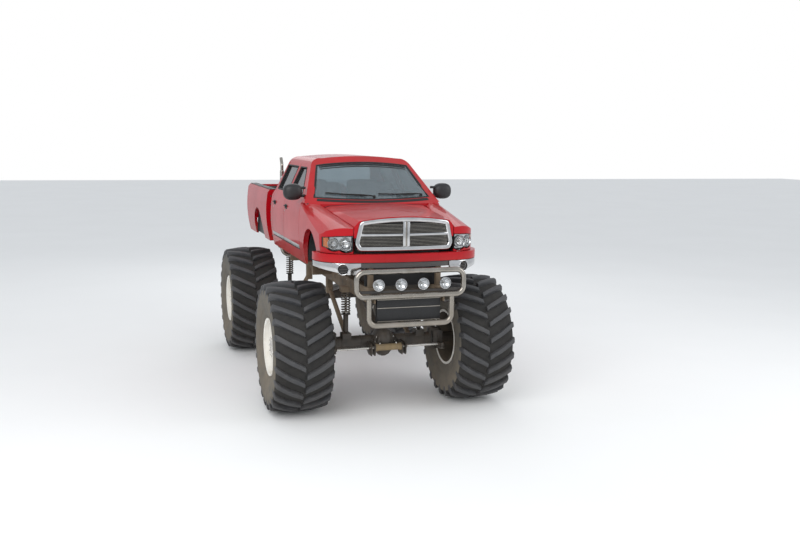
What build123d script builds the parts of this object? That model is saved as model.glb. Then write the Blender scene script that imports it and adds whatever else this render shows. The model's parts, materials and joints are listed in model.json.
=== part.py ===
from build123d import *
import os
from math import cos, pi, radians, sqrt, tan

# A pickup-bodied monster truck: a four-door body on a raised ladder frame, live axles and tall lugged tyres.
# Millimetres. +X is the truck's left side, +Y points to its tail, +Z is up. While the pieces are drawn, y = 0
# is the front axle and z = 0 the ground. The export moves them back so that the origin is under mid-length.

far = 1300                 # past the side of everything
past = 200                 # how far a cutter runs past what it cuts

# Wheels. Tyres and rims are flat-sided, one flat for each lug.
wheelbase = 3660
half_track = 1190          # wheel centre from the middle of the truck
tyre_radius = 840          # to the tips of the lugs
tyre_width = 740
tread_half = 348           # from the tyre's middle to the shoulder
crown_radius = 792         # tread floor at the tyre's middle
shoulder_radius = 752      # tread floor at the shoulder
sidewall_radius = 610      # where the sidewall is widest
bead_radius = 350
bead_half = 300
lug_count = 20             # lugs on each half of the tread
lug_width = 62
lug_reach = 110            # a lug's tip lies this far ahead of its middle
lug_tip_x = 14
lug_knee_x, lug_knee_y = 170, 4
lug_end_y = 74
lug_fall = 34              # how much lower a lug's top is at the shoulder
lug_root = 600             # a lug is drawn from this radius, inside the carcass
rim_flange_radius = 372
rim_flange_width = 12
rim_wall = 12
rim_disc_x = 235           # wheel disc, outward from the wheel's middle
rim_disc_thickness = 16
hub_radius = 150
hub_sides = 12
hub_inner_x = -130
hub_outer_x = 292
spindle_radius = 70
spindle_end_gap = 2
running_gap = 0.6          # around what turns
seat_gap = 0.3             # between pieces that are seated on each other

# Axles and steering
kingpin_x = 752
kingpin_radius = 26
knuckle_back, knuckle_front = 55, 65
knuckle_narrow, knuckle_wide = 30, 76
knuckle_half_height = 105
fork_thickness = 34
fork_radius = 58
fork_setback = 75          # the axle tube ends this far inboard of the kingpin
fork_root, fork_web = 40, 8
spindle_root = 20          # the rear axle's tube ends this far inboard of the hub
spindle_lap = 10
steer_arm_length = 250     # kingpin to the steering arm's eye
steer_arm_width = 60
steer_arm_thickness = 32
steer_arm_z = 754
axle_tube_radius = 82
diff_radius = 205
diff_half = 60             # half the width of the banjo's rim
cover_radius = 140
cover_half = 120
diff_sides = 16
pinion_radius = 84
pinion_end = 185           # from the axle's middle to the driveshaft's flange
pinion_rise = 70
pad_half = 60              # spring pads on the axle
pad_depth = 70
pad_height = 130
ear_half = 45              # link ears behind or ahead of the axle tube
ear_near, ear_far, ear_drop, ear_rise = 40, 120, 90, 30
cylinder_radius = 50
cylinder_half = 182
cylinder_rod_radius = 17
cylinder_y = -250
cylinder_z = 806
cylinder_ear = 60          # length of the plates that hold the cylinder
cylinder_ear_lap, cylinder_ear_front, cylinder_ear_back = 5, 62, 40
cylinder_ear_low, cylinder_ear_high = 700, 866
cylinder_rod_gap = 1
rod_half = 742
rod_eye_radius = 34
rod_eye_height, rod_eye_drop = 50, 8

# Frame
rail_x = 430
rail_width = 90
rail_height = 180
rail_top = 1700
frame_front = -1000
frame_rear = 4840
cross_half = 42            # half the section of a crossmember
cross_drop = 132           # crossmember's middle below the rails' top
cross_ys = (-940, -420, 420, 1000, 1600, 2300, 3240, 4080, 4780)
post_half = 38             # square posts under cab and bed
outrigger_x = 700
outrigger_drop = 20
outrigger_height = 70
cab_mount_front, cab_mount_rear = 900, 2400
bed_mount_front, bed_mount_rear = 220, 320   # behind the bed's front, ahead of its rear
spring_x = 500
spring_radius = 62
spring_length = 300
damper_radius = 34
spring_seat_height, spring_seat_drop, spring_seat_half = 68, 8, 70
link_radius = 32
link_sides = 8
link_reach = 1180          # axle to the link bracket under the rail
link_bracket_half, link_bracket_width = 50, 80
link_axle_y, link_axle_drop, link_frame_drop, link_end_gap = 100, 40, 170, 1
link_bracket_drop = 220
driveshaft_radius = 48
tow_plate_thickness = 20
tow_plate_length = 92
tow_plate_low, tow_plate_high = 1540, 1610
tow_hole_radius = 13
tow_hole_y = -1060
tow_plate_x = 425
drawbar_half = 45
drawbar_thickness = 20
drawbar_z = 1700
drawbar_pin_radius = 13
drawbar_pin_in = 38
drawbar_overhang = 80
drawbar_root = 20
rear_bumper_half = 550
rear_bumper_low, rear_bumper_high = 1660, 1790
rear_bumper_depth = 100
rear_leg_drop, rear_leg_rise, rear_leg_lap = 60, 40, 50

# Engine and driveline
engine_half, engine_front, engine_back, engine_top = 310, -560, 300, 2330
gearbox_half, gearbox_end, gearbox_rise = 150, 1120, 80
transfer_half, transfer_length, transfer_drop, transfer_top_drop = 190, 360, 160, 40
shaft_root = 20
shaft_drop = 100

# Body, front view: half-widths with their heights
sill_half, sill_z = 928, 1830
bulge_half, bulge_z = 985, 2270
shoulder_half, shoulder_z = 958, 2600
belt_half, belt_z = 905, 2690
header_half, header_z = 716, 3108
turn_half, turn_z = 674, 3160
roof_edge_half, roof_edge_z = 560, 3192
roof_z = 3226

# Cab, side view
cab_wall = 48
roof_thickness = 40
floor_thickness = 30
cab_front = 620
cab_rear = 2700
screen_foot_y, screen_foot_z = 300, 2640      # at the middle of the truck
screen_top_y, screen_top_z = 1075, 3185
screen_foot_drop = 90      # how far the screen's surface runs on below its foot, under the cowl
screen_bow = 200           # how far the screen's surface falls back from its middle to the widest line
rear_screen_lean = 130
roof_rear_round = 60
roof_rear_rise, roof_rear_drop, roof_rear_turn = 10, 30, 40
rear_belt_drop = 60
screen_depth, rear_screen_depth = 12, 20      # glass below the skin
screen_foot_half = 800     # glass area, front view
screen_low, screen_low_middle = 2702, 2680
screen_corner_half, screen_corner_z, screen_high = 640, 3095, 3138
rear_window_half, rear_window_top_half, rear_window_high = 600, 560, 3040
rear_window_rise = 30
door_thickness = 70
door_gap = 8
jamb_depth = 78            # how deep the door openings are cut
pillar_depth = 118
pillar_half_length = 45
door_bottom_z = 1910
door_split = 1690          # where the front door ends at the skin
rear_door_end = 2580
door_header_drop = 12      # top of the doors below the header
door_front_lean = 95       # top of the front door's leaning edge behind the windscreen's top
door_corner_drop = 6
door_overlap = 60          # the rear door's edge follows the front door's swing
mirror_sail = 90           # closed corner of the front door's window, behind the mirror
window_rail = 46           # frame left round a door's window
window_foot = 22           # above the belt line
glass_depth = 30
glass_thickness = 6
hinge_offset = 6           # door hinges stand outside the widest line
hinge_leaf_length, hinge_leaf_height = 48, 60
hinge_leaf_heights = (2060, 2440)
hinge_leaf_root, hinge_leaf_start = 10, 12
weld = 4                   # how far welded pieces run into each other
pillar_top = 20
cowl_side_half, cowl_side_z = 920, 2625       # the cab is cut back here for the fenders
mirror_head = ((952, 2706), (1180, 2716), (1186, 2868), (966, 2874))         # front view, x and z
mirror_arm = ((840, 2640), (900, 2640), (1000, 2720), (1000, 2768), (840, 2736))
mirror_corner = 30
mirror_head_front, mirror_head_back = 575, 670
mirror_arm_front, mirror_arm_back = 650, 684
mirror_foot_half, mirror_foot_back = 930, 760

# Nose
nose_thickness = 26
nose_row_y = -1060         # where the nose's front section is drawn
lamp_depth_in = 90
lamp_inner_gap = 14        # headlamp to grille
lamp_outer_x = 1010
lamp_top_z, lamp_low_z = 2330, 2145
lamp_outer_top_z, lamp_outer_low_z = 2292, 2190
lamp_top_turn = (830, 2322)
lamp_bowls = (((720, 2120), (800, 2150)), ((868, 2136), (930, 2172)))        # scallops, x and z
hood_gap = 8
foot_room = 40             # the windscreen's frame starts behind the hood's swing
hood_side_front, hood_side_rear = 612, 700    # hood's half-width at the grille and at the cowl
hood_rear_y = 330
hood_rear_bow = 110
hood_low_z = 2300
hood_leaf, hood_leaf_root = 14, 4    # hinge leaves under the hood
hood_leaf_x, hood_leaf_half, hood_leaf_length, hood_leaf_back = 600, 40, 40, 70
hood_parting_z = 2200      # the fenders are cut back from the hood above this
nose_mid_y = -925
nose_shoulder_x, nose_shoulder_y = 640, -862
nose_end_x, nose_end_y = 990, -470
lamp_rear_y = -610
grille_half = 625
grille_top_z, grille_bottom_z = 2545, 2140
grille_depth = 60
grille_proud = 18
grille_bar = 62
grille_round = 28
grille_corner_drop, grille_corner_in = 48, 62
grille_toe_rise, grille_toe_in = 90, 45
grille_cross_drop = 6
cross_bar_half, centre_bar_half = 15, 44
slat_count = 6             # in each half of the grille
slat_height = 9
slat_setback = 8
slat_depth = 34
fender_inner_x = 500
fender_lower_x, fender_lower_z = 640, 2400
fender_toe = 2
arch_radius = 432
arch_z = 1900
cap_top_z, cap_bottom_z = 2108, 2012
cap_proud = 55             # bumper ahead of the nose
cap_end_gap = 12
cap_gap = 6
bumper_end_top_z, bumper_end_bottom_z = 2004, 1868
bumper_end_inner_x = 560
end_taper = ((540, 1850), (700, 1866), (far, 1990))       # underside of the bumper's ends, x and z
trim_gap = 4
bumper_wall = 24
bumper_flange = 90
beam_depth = 40
beam_low, beam_high = 1960, 2080
beam_half = 900
beam_leg_half = 30
beam_leg_front, beam_leg_back = -910, -840
beam_leg_lap = 40
valance_bottom_z = 1945
valance_setback = 12
fog_radius = 62
fog_x, fog_z = 770, 1932

# Bull bar and lamps
tube_sides = 12            # flats round a bent tube
bend_steps = 3             # flats along each of its bends
loop_tube = 29
loop_half, loop_top_z, loop_bottom_z = 669, 1926, 1629
loop_corner = 90
lower_loop_half, lower_loop_bottom_z = 518, 1284
loop_y = -1130
gusset_low, gusset_high, gusset_lap = 1524, 1536, 10
strut_half, strut_low, strut_high = 30, 1615, 1665
lamp_bar_half = 18
lamp_radius = 73
lamp_depth = 62
lamp_back = 0.62           # back of a lamp, as a share of its front
lamp_sides = 16
lamp_pitch = 277
lamp_z = 1775
lamp_foot_half, lamp_foot_front, lamp_foot_back = 12, 10, 20
cooler_half = 400
cooler_depth = 60
cooler_rim = 10
cooler_seam_half = 2
cooler_bottom, cooler_seam, cooler_top = 1310, 1478, 1585
radiator_half, radiator_front, radiator_back, radiator_top = 470, -800, -740, 2420

# Bed
bed_gap = 300              # open space between cab and bed
bed_length = 1930
bed_half = 1005
bed_rail_z = 2655
bed_floor_z = 2150
bed_floor_thickness = 40
bed_wall = 112
bed_skin = 34
bed_sill_z = 1850
bed_tuck = 60              # how far the bed's sides come in at sill and rail
bed_lip_in, bed_lip_drop = 26, 40
bed_arch_in = 10           # the arch is cut this far past the skirt
bed_arch_y = 850           # wheel arch behind the bed's front
bed_arch_radius = 412
tailgate_half = 745
tailgate_gap = 8
tailgate_thickness = 72
tailgate_sill_z = 2130
tailgate_top_drop, tailgate_panel_top = 10, 130
gate_lug_x, gate_lug_half = 600, 40
gate_lug_front, gate_lug_back, gate_lug_height = 60, 14, 20
tailgate_panel_in, tailgate_panel_depth = 90, 12
tail_lamp_low, tail_lamp_high = 2230, 2560
tail_lamp_inner, tail_lamp_outer = 765, 943
tail_lamp_depth = 34
tail_lamp_round = 22
stack_radius = 33
stack_x = 778
stack_foot_z = 1640
stack_bend = 110
stack_top_z = 2950
tip_radius = 24
tip_bend = 60
tip_reach = 70
tip_root = 40
tip_top_z = 3150

# Cabin
dash_half, dash_back, dash_low, dash_high = 780, 900, 2420, 2640
steering_x, steering_y, steering_z = 380, 990, 2602
steering_radius = 186
steering_rim = 32
steering_tilt = 68
column_radius = 24
seat_rows = (1330, 2150)
seat_x = 400
seat_half, seat_depth = 260, 500
pedestal_half = 200
cushion_low, cushion_high = 2120, 2290
back_z = 2540
back_height, back_thickness, back_lean = 620, 130, -12

# What follows from the sizes above
bed_front = cab_rear + bed_gap
bed_rear = bed_front + bed_length
axle_z = tyre_radius
rail_low = rail_top - rail_height
rail_inner = rail_x - rail_width / 2
rail_outer = rail_x + rail_width / 2
cross_z = rail_top - cross_drop
bumper_rear = bed_rear + 90
nose_tip = loop_y - loop_tube
middle_y = (nose_tip + bumper_rear) / 2
hinge_x = bulge_half + hinge_offset
sidewall_half = tyre_width / 2
sidewall_slope = (sidewall_half - bead_half) / (sidewall_radius - bead_radius)
flange_x = bead_half + (rim_flange_radius / cos(pi / lug_count) - bead_radius) * sidewall_slope + seat_gap
lug_top = sqrt(tyre_radius**2 - lug_reach**2)
tow_plate_middle = (tow_plate_low + tow_plate_high) / 2
drawbar_pin_y = bumper_rear - drawbar_pin_in
spindle_end = half_track + rim_disc_x - spindle_end_gap

side_plane = Plane(origin=(0, 0, 0), x_dir=(0, 1, 0), z_dir=(1, 0, 0))     # drawn as (y, z)
front_plane = Plane(origin=(0, 0, 0), x_dir=(1, 0, 0), z_dir=(0, -1, 0))   # drawn as (x, z)
nodes = {}
cab_forms = {}
nose_forms = {}


# Drawing helpers
def outline(start, *steps):
    # a closed flat face; a step is a point for a straight edge, or (through, to) for an arc
    edges, here = [], start
    for step in steps:
        if isinstance(step[0], tuple):
            edges.append(ThreePointArc(here, step[0], step[1]))
            here = step[1]
        else:
            edges.append(Line(here, step))
            here = step
    if here != start:
        edges.append(Line(here, start))
    return make_face(Curve() + edges)


def side_slab(face, x0, x1):
    return extrude(side_plane.offset(x0) * face, x1 - x0)


def front_slab(face, y0, y1):
    return extrude(front_plane.offset(-y1) * face, y1 - y0)


def top_slab(face, z0, z1):
    return extrude(Plane.XY.offset(z0) * face, z1 - z0)


def box(x0, x1, y0, y1, z0, z1):
    return Pos((x0 + x1) / 2, (y0 + y1) / 2, (z0 + z1) / 2) * Box(abs(x1 - x0), abs(y1 - y0), abs(z1 - z0))


def rod(start, end, radius, sides=0):
    # round, or with flats where sides are given
    start, end = Vector(*start), Vector(*end)
    section = RegularPolygon(radius, sides) if sides else Circle(radius)
    return extrude(Plane(origin=start, z_dir=end - start) * section, (end - start).length)


def pin(x, y, z, radius, height, sides=0):
    # an upright piece about its middle
    return rod((x, y, z - height / 2), (x, y, z + height / 2), radius, sides)


def wheel_ring(x0, x1, radius):
    # a flat-sided disc across the wheel's axis
    plane = Plane(origin=(x0, 0, 0), x_dir=(0, 1, 0), z_dir=(1, 0, 0))
    return extrude(plane * RegularPolygon(radius, lug_count), x1 - x0)


def bent_tube(points, radius, bend):
    # a tube with flats along straight runs in one plane, each corner bent in steps round its hinge
    corners = [Vector(*point) for point in points]
    into = (corners[1] - corners[0]).normalized()
    across = into.cross(corners[2] - corners[1]).normalized()
    stations = [(corners[0], into)]
    for corner, after in zip(corners[1:], corners[2:]):
        out = (after - corner).normalized()
        turn = into.get_angle(out)
        hinge = Axis((0, 0, 0), into.cross(out).normalized())
        start = corner - into * (bend * tan(radians(turn) / 2))
        centre = start + hinge.direction.cross(into) * bend
        for step in range(bend_steps + 1):
            angle = turn * step / bend_steps
            stations.append((centre + (start - centre).rotate(hinge, angle), into.rotate(hinge, angle)))
        into = out
    stations.append((corners[-1], into))
    section = RegularPolygon(radius, tube_sides)
    return loft([Plane(origin=at, x_dir=across, z_dir=way) * section for at, way in stations], ruled=True)


def left_and_right(shape):
    return [shape, mirror(shape, about=Plane.YZ)]


def sided(shape, side):
    return shape if side == "left" else mirror(shape, about=Plane.YZ)


def solids_of(shape):
    if isinstance(shape, (list, tuple)):
        return [piece for part in shape for piece in solids_of(part)]
    return list(shape.solids())


def largest(shape):
    return max(shape.solids(), key=lambda solid: solid.volume)


def keep(name, *shapes):
    nodes[name] = solids_of(list(shapes))


# Cab
def cab_section(inset):
    # front view of the cab: sides bulge below the belt, lean in above it and turn into the roof.
    # The inner faces are flat.
    drop = min(inset, roof_thickness)
    belt, header = (belt_half - inset, belt_z), (header_half - inset, header_z)
    shoulder = (shoulder_half - inset, shoulder_z)
    edge = (roof_edge_half - inset, roof_edge_z - drop)
    sill = (sill_half - inset, sill_z)
    if inset > 0:
        right = [sill, shoulder, belt, header, edge]
        return outline(*right, *[(-x, z) for x, z in right[::-1]])
    bulge, turn = (bulge_half - inset, bulge_z), (turn_half - inset, turn_z - drop)
    return outline(
        sill, (bulge, shoulder), belt, header, (turn, edge), ((0, roof_z - drop), (-edge[0], edge[1])),
        ((-turn[0], turn[1]), (-header[0], header[1])), (-belt[0], belt[1]), (-shoulder[0], shoulder[1]),
        ((-bulge[0], bulge[1]), (-sill[0], sill[1])),
    )


def cab_form(inset):
    if inset not in cab_forms:
        cab_forms[inset] = make_cab_form(inset)
    return cab_forms[inset]


def make_cab_form(inset):
    low = sill_z + (floor_thickness if inset > 0 else 0)
    ahead = screen_foot_y - screen_bow - past
    roof_end = cab_rear - rear_screen_lean
    crown = (roof_end - 2.5 * roof_rear_round, roof_edge_z + roof_rear_rise)
    turned = (roof_end - inset, header_z - roof_rear_turn)
    through = (roof_end - roof_rear_round - inset, roof_edge_z - roof_rear_drop)
    belt = (cab_rear - inset, belt_z - rear_belt_drop)
    side = outline(
        (ahead, low), (ahead, roof_z + past), (roof_end - 3 * roof_rear_round, roof_z + past), crown,
        turned if inset > 0 else (through, turned), belt, (cab_rear - inset, low),
    )
    form = front_slab(cab_section(inset), ahead, cab_rear + past) & side_slab(side, -far, far)
    # the windscreen's surface: a bowed front edge carried up the slope
    slope_y, slope_z = screen_top_y - screen_foot_y, screen_top_z - screen_foot_z
    slope = slope_y / slope_z
    foot = screen_foot_y + inset * 1.2 - screen_foot_drop * slope
    corner_y = foot + screen_bow
    rear = foot + 2 * cab_rear
    plan = outline((-bulge_half, corner_y), ((0, foot), (bulge_half, corner_y)), (bulge_half, rear),
                   (-bulge_half, rear))
    rise = screen_top_z - screen_foot_z + 2 * screen_foot_drop
    leaning = extrude(Plane.XY.offset(screen_foot_z - screen_foot_drop) * plan, rise * sqrt(1 + slope**2),
                      dir=(0, slope_y, slope_z))
    below = box(-far, far, cab_front + inset, cab_rear + past, 0, screen_foot_z)
    return form & (leaning + below)


def side_layer(outer, inner):
    # the cab's sides between two depths, with no front or rear wall
    layer = front_slab(cab_section(outer), cab_front, cab_rear)
    return layer - front_slab(cab_section(inner), 0, cab_rear + past)


def windscreen_window():
    # front view of the glass area, seen square on
    corner = (screen_corner_half, screen_corner_z)
    foot = (screen_foot_half, screen_low)
    return outline((-foot[0], foot[1]), ((0, screen_low_middle), foot), corner,
                   ((0, screen_high), (-corner[0], corner[1])))


def rear_window():
    low, half, top = belt_z + rear_window_rise, rear_window_half, (rear_window_top_half, rear_window_high)
    return outline((-half, low), (half, low), top, (-top[0], top[1]))


def door_cell(front_y, rear_y, leans, gap):
    # side view of a door: its sill, its rear edge round the hinge axis and its front edge, which may lean
    top = header_z - door_header_drop
    front_top = screen_top_y + door_front_lean if leans else front_y
    back = rear_y + past
    corner = (front_y + gap, belt_z - door_corner_drop)
    face = outline((front_y + gap, door_bottom_z), corner, (front_top + gap, top), (back, top),
                   (back, door_bottom_z))
    swing = pin(hinge_x, front_y, roof_z / 2, rear_y - front_y, roof_z)
    return side_slab(face, sill_half / 3, far) & swing


def door_window(front_y, rear_y, leans):
    top = header_z - door_header_drop - window_rail
    foot = belt_z + window_foot
    slope = (screen_top_y + door_front_lean - front_y) / (header_z - belt_z) if leans else 0
    front_low = front_y + window_rail * 1.6 + (mirror_sail if leans else 0)
    back = rear_y - window_rail * 1.5
    return outline((front_low, foot), (front_low + slope * (top - foot), top), (back - window_rail / 2, top),
                   (back, foot))


door_rows = [  # name, front y, rear y, front edge leans with the windscreen pillar
    ("front", cab_front + door_gap, door_split, True),
    ("rear", door_split + door_gap, rear_door_end, False),
]


def build_doors():
    skin = side_layer(0, door_thickness) & cab_form(0)
    layer = side_layer(glass_depth, glass_depth + glass_thickness)
    for row, front_y, rear_y, leans in door_rows:
        cell = door_cell(front_y, rear_y, leans, 0)
        if row == "rear":
            cell -= door_cell(door_rows[0][1], door_split + door_gap, True, -door_overlap)
        window = side_slab(door_window(front_y, rear_y, leans), sill_half / 3, far)
        panel = (skin & cell) - window
        glass = layer & side_slab(offset(door_window(front_y, rear_y, leans), -seat_gap), sill_half / 3, far)
        for side in ("left", "right"):
            keep(f"door_{row}_{side}", sided(panel, side))
            keep(f"glass_{row}_{side}", sided(glass, side))


def door_mirror():
    # head on a short arm, its foot shaped to the corner of the door
    head = chamfer(outline(*mirror_head).vertices(), mirror_corner)
    body = front_slab(head, mirror_head_front, mirror_head_back)
    body += front_slab(outline(*mirror_arm), mirror_arm_front, mirror_arm_back)
    foot_x, foot_low, foot_high = mirror_arm[0][0], mirror_arm[0][1], mirror_arm[-1][1]
    body += box(foot_x, mirror_foot_half, mirror_arm_front, mirror_foot_back, foot_low, foot_high)
    return body - cab_form(-seat_gap)


def build_cab():
    rib_y = door_split + door_gap / 2
    rib_zone = box(-far, far, rib_y - pillar_half_length, rib_y + pillar_half_length,
                   sill_z + floor_thickness - weld, header_z + pillar_top)
    shell = cab_form(0) - cab_form(cab_wall) + (side_layer(cab_wall - weld, pillar_depth) & rib_zone)
    jamb = side_layer(-5, jamb_depth)
    hinge_layer = side_layer(door_thickness + seat_gap, jamb_depth + hinge_leaf_root)
    for row, front_y, rear_y, leans in door_rows:
        opening = jamb & door_cell(front_y - door_gap, rear_y + door_gap, leans, 0)
        shell = shell - opening - mirror(opening, about=Plane.YZ)
    leaves = ((cab_front, cab_front + hinge_leaf_length),
              (rib_y + hinge_leaf_start, rib_y + hinge_leaf_length - weld))
    for z in hinge_leaf_heights:
        for y0, y1 in leaves:
            shell += hinge_layer & box(-far, far, y0, y1, z, z + hinge_leaf_height)
    shell -= front_slab(windscreen_window(), 0, screen_top_y + 2 * past)
    shell -= front_slab(rear_window(), cab_rear - 2 * past, cab_rear + past)
    shell -= nose_form(0) & box(-far, far, nose_tip, cab_front, sill_z, roof_z)
    shell -= top_slab(hood_plan(hood_gap + foot_room), hood_low_z, roof_z)
    for side in (-1, 1):
        shell -= box(side * cowl_side_half, side * far, 0, cab_front, sill_z, cowl_side_z)
    keep("cab_shell", shell)
    screen = cab_form(screen_depth) - cab_form(screen_depth + glass_thickness)
    screen &= front_slab(offset(windscreen_window(), -seat_gap), 0, screen_top_y + 2 * past)
    back = cab_form(rear_screen_depth) - cab_form(rear_screen_depth + glass_thickness)
    back &= front_slab(offset(rear_window(), -seat_gap), cab_rear - 2 * past, cab_rear + past)
    keep("cab_glass", screen, back)
    for side in ("left", "right"):
        keep(f"mirror_{side}", sided(door_mirror(), side))


# Nose: hood, fenders, grille, lamps and bumper
hood_rows = [  # y, crown z, crest x, crest z, foot x, foot z
    (nose_row_y, 2548, 560, 2488, 650, 2372),
    (cab_front, 2642, 660, 2614, 745, 2600),
]
fender_rows = [  # y, inner x, inner z, crest x, crest z, edge x, edge z, skirt x, skirt z
    (nose_row_y, 600, 2372, 790, 2376, 930, 2306, 1010, 2180),
    (cab_front, 700, 2600, 850, 2648, 952, 2606, 1010, 2530),
]


def hood_block_section(row, inset):
    y, crown_z, crest_x, crest_z, foot_x, foot_z = row
    low = (foot_x - inset / 2, sill_z)
    foot = (foot_x - inset / 2, foot_z - inset)
    crest = (crest_x - inset / 2, crest_z - inset)
    top = [(0, crown_z - inset), (-crest[0], crest[1])]
    top = top if inset > 0 else [tuple(top)]
    return front_plane.offset(-y) * outline(low, foot, crest, *top, (-foot[0], foot[1]), (-low[0], low[1]))


def fender_block_section(row, inset):
    y, inner_x, inner_z, crest_x, crest_z, edge_x, edge_z, skirt_x, skirt_z = row
    inner, crest = (inner_x, inner_z - inset), (crest_x, crest_z - inset)
    edge = (edge_x - inset / 2, edge_z - inset)
    skirt, low = (skirt_x - inset / 2, skirt_z - inset), (skirt_x - inset / 2, sill_z)
    right = [low, skirt, edge] + ([crest, inner] if inset > 0 else [(crest, inner)])
    left = [(-crest[0], crest[1]), (-edge[0], edge[1])]
    left = left if inset > 0 else [tuple(left)]
    return front_plane.offset(-y) * outline(*right, (-inner[0], inner[1]), *left, (-skirt[0], skirt[1]),
                                            (-low[0], low[1]))


def nose_plan(proud):
    # plan view of the front: shallow across the grille, tighter round the corner into the side
    rear = cab_front + past
    corner = sqrt(0.5)
    through_x = nose_shoulder_x + (nose_end_x - nose_shoulder_x) * corner + proud * 0.6
    through_y = nose_end_y + (nose_shoulder_y - nose_end_y) * corner - proud * 0.8
    return outline(
        (-nose_end_x - proud, rear), (-nose_end_x - proud, nose_end_y),
        ((-through_x, through_y), (-nose_shoulder_x, nose_shoulder_y - proud)),
        ((0, nose_mid_y - proud), (nose_shoulder_x, nose_shoulder_y - proud)),
        ((through_x, through_y), (nose_end_x + proud, nose_end_y)),
        (nose_end_x + proud, rear),
    )


def grille_plan(proud):
    # the same front in four flats, for the grille's bars
    bow = nose_shoulder_y - nose_mid_y
    near, mid = nose_mid_y - proud, nose_mid_y + bow / 4 - proud
    side, corner = nose_shoulder_x, nose_shoulder_y - proud
    return outline((-side, 0), (-side, corner), (-side / 2, mid), (0, near), (side / 2, mid), (side, corner),
                   (side, 0))


def nose_form(inset):
    if inset not in nose_forms:
        nose_forms[inset] = make_nose_form(inset)
    return nose_forms[inset]


def make_nose_form(inset):
    # body sides like the doors', under the raised middle of the hood and the crowned fenders
    sides = front_slab(cab_section(inset), nose_tip, cab_front)
    half = shoulder_half - inset
    sides += box(-half, half, nose_tip, cab_front, shoulder_z, roof_z)
    middle = loft([hood_block_section(row, inset) for row in hood_rows], ruled=True)
    flanks = loft([fender_block_section(row, inset) for row in fender_rows], ruled=True)
    return sides & (middle + flanks) & top_slab(nose_plan(-inset), sill_z, roof_z)


def grille_face(grow):
    # front view of the grille surround: arched top, straight raked sides, rounded corners
    toe, corner = grille_half - grille_toe_in + grow, grille_half - grille_corner_in + grow
    low, shoulder = grille_bottom_z + grille_toe_rise, grille_top_z - grille_corner_drop + grow
    face = outline((-toe, grille_bottom_z - grow), (toe, grille_bottom_z - grow), (grille_half + grow, low),
                   (corner, shoulder), ((0, grille_top_z + grow), (-corner, shoulder)),
                   (-grille_half - grow, low))
    return chamfer(face.vertices(), grille_round)


def headlamp_face(grow):
    # front view of a headlamp: flat top that falls outward, a lower edge scalloped under its two bowls
    inner = grille_half + lamp_inner_gap - grow
    scallops = [((through[0], through[1] - grow), (end[0], end[1] - grow)) for through, end in lamp_bowls]
    return outline(
        (inner, lamp_top_z + grow), (inner, lamp_low_z - grow), *scallops,
        (lamp_outer_x, lamp_outer_low_z - grow),
        (lamp_outer_x, lamp_outer_top_z + grow), (lamp_top_turn[0], lamp_top_turn[1] + grow),
    )


def hood_plan(grow):
    # plan view of the hood with its bowed rear edge
    return outline(
        (-hood_side_front - grow, nose_tip), (hood_side_front + grow, nose_tip),
        (hood_side_rear + grow, hood_rear_y + grow),
        ((0, hood_rear_y - hood_rear_bow + grow), (-hood_side_rear - grow, hood_rear_y + grow)),
    )


def cowl_zone():
    # plan view of the strip between the hood's rear edge and the firewall
    side, edge_y = hood_side_rear + hood_gap, hood_rear_y + hood_gap
    return outline((-side, edge_y), ((0, edge_y - hood_rear_bow), (side, edge_y)), (side, cab_front),
                   (-side, cab_front))


def build_hood():
    skin = nose_form(0) - nose_form(nose_thickness)
    hood = skin & top_slab(hood_plan(0), hood_low_z, roof_z)
    hood -= front_slab(grille_face(seat_gap), nose_tip, lamp_rear_y)
    keep("hood", largest(hood))
    # the cowl reaches under the hood's rear corners, where the hood is hinged
    cowl = skin & top_slab(cowl_zone(), hood_low_z, roof_z)
    leaf = nose_form(nose_thickness + seat_gap) - nose_form(nose_thickness + hood_leaf)
    root = nose_form(nose_thickness - hood_leaf_root) - nose_form(nose_thickness + hood_leaf)
    for side in (-1, 1):
        zone = box(side * (hood_leaf_x - hood_leaf_half), side * (hood_leaf_x + hood_leaf_half),
                   hood_rear_y - hood_leaf_length, hood_rear_y + hood_leaf_back, hood_low_z, roof_z)
        cowl += leaf & zone
        cowl += root & zone & box(-far, far, hood_rear_y + hood_gap, cab_front, hood_low_z, roof_z)
    keep("cowl", cowl)


def build_fenders():
    skin = nose_form(0) - nose_form(nose_thickness)
    arch = Pos(0, 0, arch_z) * Rot(0, 90, 0) * Cylinder(arch_radius, 2 * far)
    arch += box(-far, far, -arch_radius, arch_radius, 0, arch_z)
    fender = skin & box(fender_inner_x, far, nose_tip, cab_front - seat_gap, sill_z, roof_z)
    fender = fender - top_slab(hood_plan(hood_gap), hood_parting_z, roof_z) - arch
    fender -= front_slab(headlamp_face(seat_gap), nose_tip, lamp_rear_y + seat_gap)
    fender -= front_slab(grille_face(hood_gap), nose_tip, lamp_rear_y)
    fender -= box(fender_inner_x, far, nose_tip, -arch_radius + fender_toe, sill_z, cap_top_z + cap_gap)
    fender -= box(0, fender_lower_x, nose_tip, cab_front, sill_z, fender_lower_z)
    fender -= top_slab(cowl_zone(), hood_low_z, roof_z)
    for side in ("left", "right"):
        keep(f"fender_{side}", sided(largest(fender), side))
    lamp = (nose_form(0) - nose_form(lamp_depth_in)) & front_slab(headlamp_face(0), nose_tip, lamp_rear_y)
    keep("headlamps", left_and_right(largest(lamp)))


def grille_layer(proud, depth):
    return top_slab(grille_plan(proud), sill_z, roof_z) - top_slab(grille_plan(proud - depth), sill_z, roof_z)


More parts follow.
